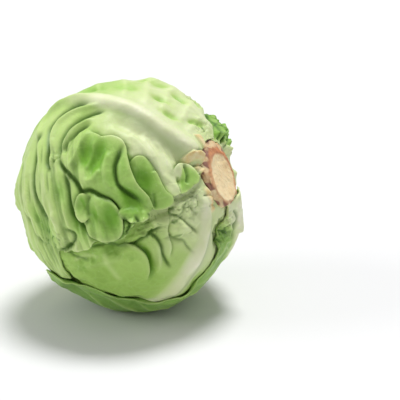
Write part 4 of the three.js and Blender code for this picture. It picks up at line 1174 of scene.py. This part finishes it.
def leaf_material(leaf):
    """A waxy leaf: green lobes, cream ribs, painted shade in creases and hollows, painted highlights on
    rims, and a fine net of veins.
    """
    n = Nodes(leaf.name + "_skin")
    where = n.add("TexCoord").outputs["Object"]
    pale, crease, light, tan = marks_of(n)
    green = leaf.green
    colour = n.mix(n.ramp(n.noise(where, 26), 0.36, 0.66), green, shaded(green, FRESH_SHARES))
    colour = n.mix(n.ramp(n.noise(where, 55, 4.0), 0.52, 0.74), colour, shaded(green, DULL_SHARES))
    warp = n.add("TexNoise", {"Vector": where, "Scale": 60.0, "Detail": 2.0}).outputs["Color"]
    warp = n.add("VectorMath", {0: warp, 3: 0.014}, operation="SCALE").outputs[0]
    bent = n.add("VectorMath", {0: where, 1: warp})
    net = n.add("TexVoronoi", {"Vector": bent.outputs[0], "Scale": 150.0}, feature="DISTANCE_TO_EDGE")
    vein = n.ramp(net.outputs["Distance"], 0.16, 0.0)
    colour = n.mix(n.math("MULTIPLY", vein, 0.16), colour, tuple(min(c * 1.5 + 0.05, 1) for c in green))
    cream = n.mix(n.ramp(n.noise(where, 48), 0.35, 0.7), *CREAM)
    lime = n.mix(n.noise(where, 40), *LIME)
    # Painted shade in hollows, as a deeper green
    colour = n.mix(n.ramp(pale, PLAIN_GREEN, 0.0), colour, shaded(green, HOLLOW_SHADE_SHARES))
    colour = n.mix(n.ramp(pale, PLAIN_GREEN, 0.64), colour, lime)
    colour = n.mix(n.ramp(pale, 0.56, 1.0), colour, cream)
    # Painted highlight on crests and margins, and the veins' own pale
    colour = n.mix(n.math("MULTIPLY", light, 0.5), colour, HIGHLIGHT_AND_VEIN_GREEN)
    # Painted shade in creases and on the midrib's low flank
    colour = n.mix(n.math("MULTIPLY", crease, 0.85), colour, shaded(green, CREASE_SHADE_SHARES))
    speck = n.ramp(n.noise(where, 420, 2.0), 0.62, 0.75)
    colour = n.mix(n.math("MULTIPLY", speck, 0.08), colour, WAX_SPECK)
    bark = n.mix(n.ramp(n.noise(where, 240), 0.35, 0.65), *BARK)
    colour = n.mix(n.math("MULTIPLY", tan, 0.9), colour, bark)
    grain = n.noise(where, 900)
    raised = n.math("MULTIPLY", vein, 0.3, False)
    relief = n.math("ADD", raised, n.math("MULTIPLY", grain, 0.3, False), False)
    bump = n.add("Bump", {"Height": relief, "Strength": 0.3, "Distance": 0.0006})
    rough = n.add("MapRange", {"Value": n.noise(where, 90), "To Min": 0.4, "To Max": 0.58})
    wax = {"Specular IOR Level": 0.32, "Sheen Weight": 0.03}
    return n.finish(colour, rough, bump, (0.6, 1.0, 0.3), **wax)


def stem_material():
    """A dried cut: cream in the middle, a browned rim, and tan sides with dark leaf scars."""
    n = Nodes("stem_flesh")
    where = n.add("TexCoord").outputs["Object"]
    cut, brown, dark, knob = marks_of(n)
    mottled = n.ramp(n.noise(where, 130, 5.0), 0.3, 0.7)
    side = n.mix(dark, n.mix(mottled, *STUMP_SIDE), STUMP_DARK)
    side = n.mix(knob, side, n.mix(mottled, *STUMP_KNOB))
    colour = n.mix(cut, side, n.mix(mottled, *STUMP_FLESH))
    rust = n.mix(n.ramp(n.noise(where, 260), 0.35, 0.65), *STUMP_RUST)
    colour = n.mix(brown, colour, rust)
    fibre = n.noise(where, 700, 4.0)
    bump = n.add("Bump", {"Height": fibre, "Strength": 0.5, "Distance": 0.0008})
    rough = n.add("MapRange", {"Value": mottled, "To Min": 0.6, "To Max": 0.8})
    return n.finish(colour, rough, bump, (1.0, 0.5, 0.25))


# The stage and the camera
FLOOR_GREY = (0.74, 0.74, 0.75, 1)
FLOOR_HALF = 4.0
FLOOR_DROP = 0.0002
SURROUND_STRENGTH = 0.44
LIGHTS = [
    # name, where it shines from, strength, how wide it is in degrees
    ("key_light", (0.12, 0.22, 0.95), 2.75, 20),
    ("side_light", (-0.9, -0.1, 0.42), 0.9, 30),
]


def build_stage():
    """A plain pale floor, soft light from above and a white surround."""
    scene = bpy.context.scene
    scene.view_settings.view_transform = "Standard"
    n = Nodes("pale_floor")
    shader = n.add("BsdfPrincipled", {"Base Color": FLOOR_GREY, "Roughness": 0.9})
    n.add("OutputMaterial", {"Surface": shader.outputs[0]})
    mesh = bpy.data.meshes.new("floor")
    corners = [(x * FLOOR_HALF, y * FLOOR_HALF, 0) for x, y in ((-1, -1), (1, -1), (1, 1), (-1, 1))]
    mesh.from_pydata(corners, [], [(0, 1, 2, 3)])
    mesh.materials.append(n.material)
    floor = bpy.data.objects.new("floor", mesh)
    floor.location.z = -FLOOR_DROP
    scene.collection.objects.link(floor)
    world = bpy.data.worlds.new("surround")
    scene.world = world
    world.use_nodes = True
    surround = world.node_tree.nodes["Background"]
    surround.inputs["Color"].default_value = (1, 1, 1, 1)
    surround.inputs["Strength"].default_value = SURROUND_STRENGTH
    for name, towards, strength, width in LIGHTS:
        data = bpy.data.lights.new(name, "SUN")
        data.energy = strength
        data.angle = math.radians(width)
        lamp = bpy.data.objects.new(name, data)
        lamp.rotation_euler = Vector(towards).to_track_quat("Z", "Y").to_euler()
        scene.collection.objects.link(lamp)


def build_camera():
    data = bpy.data.cameras.new("camera")
    data.sensor_width = SENSOR
    data.lens = SENSOR * CAMERA_DISTANCE / (PHOTO_SIDE * MM_PER_PIXEL)
    data.clip_start = 0.01
    camera = bpy.data.objects.new("camera", data)
    camera.location = camera_place * MM
    camera.rotation_euler = (math.radians(90 - CAMERA_ELEVATION), 0, 0)
    bpy.context.scene.collection.objects.link(camera)
    bpy.context.scene.camera = camera


build_camera()
build_stage()
for leaf in LEAVES:
    build_leaf(leaf)
    press_down(leaf)
build_heart()
build_stem()
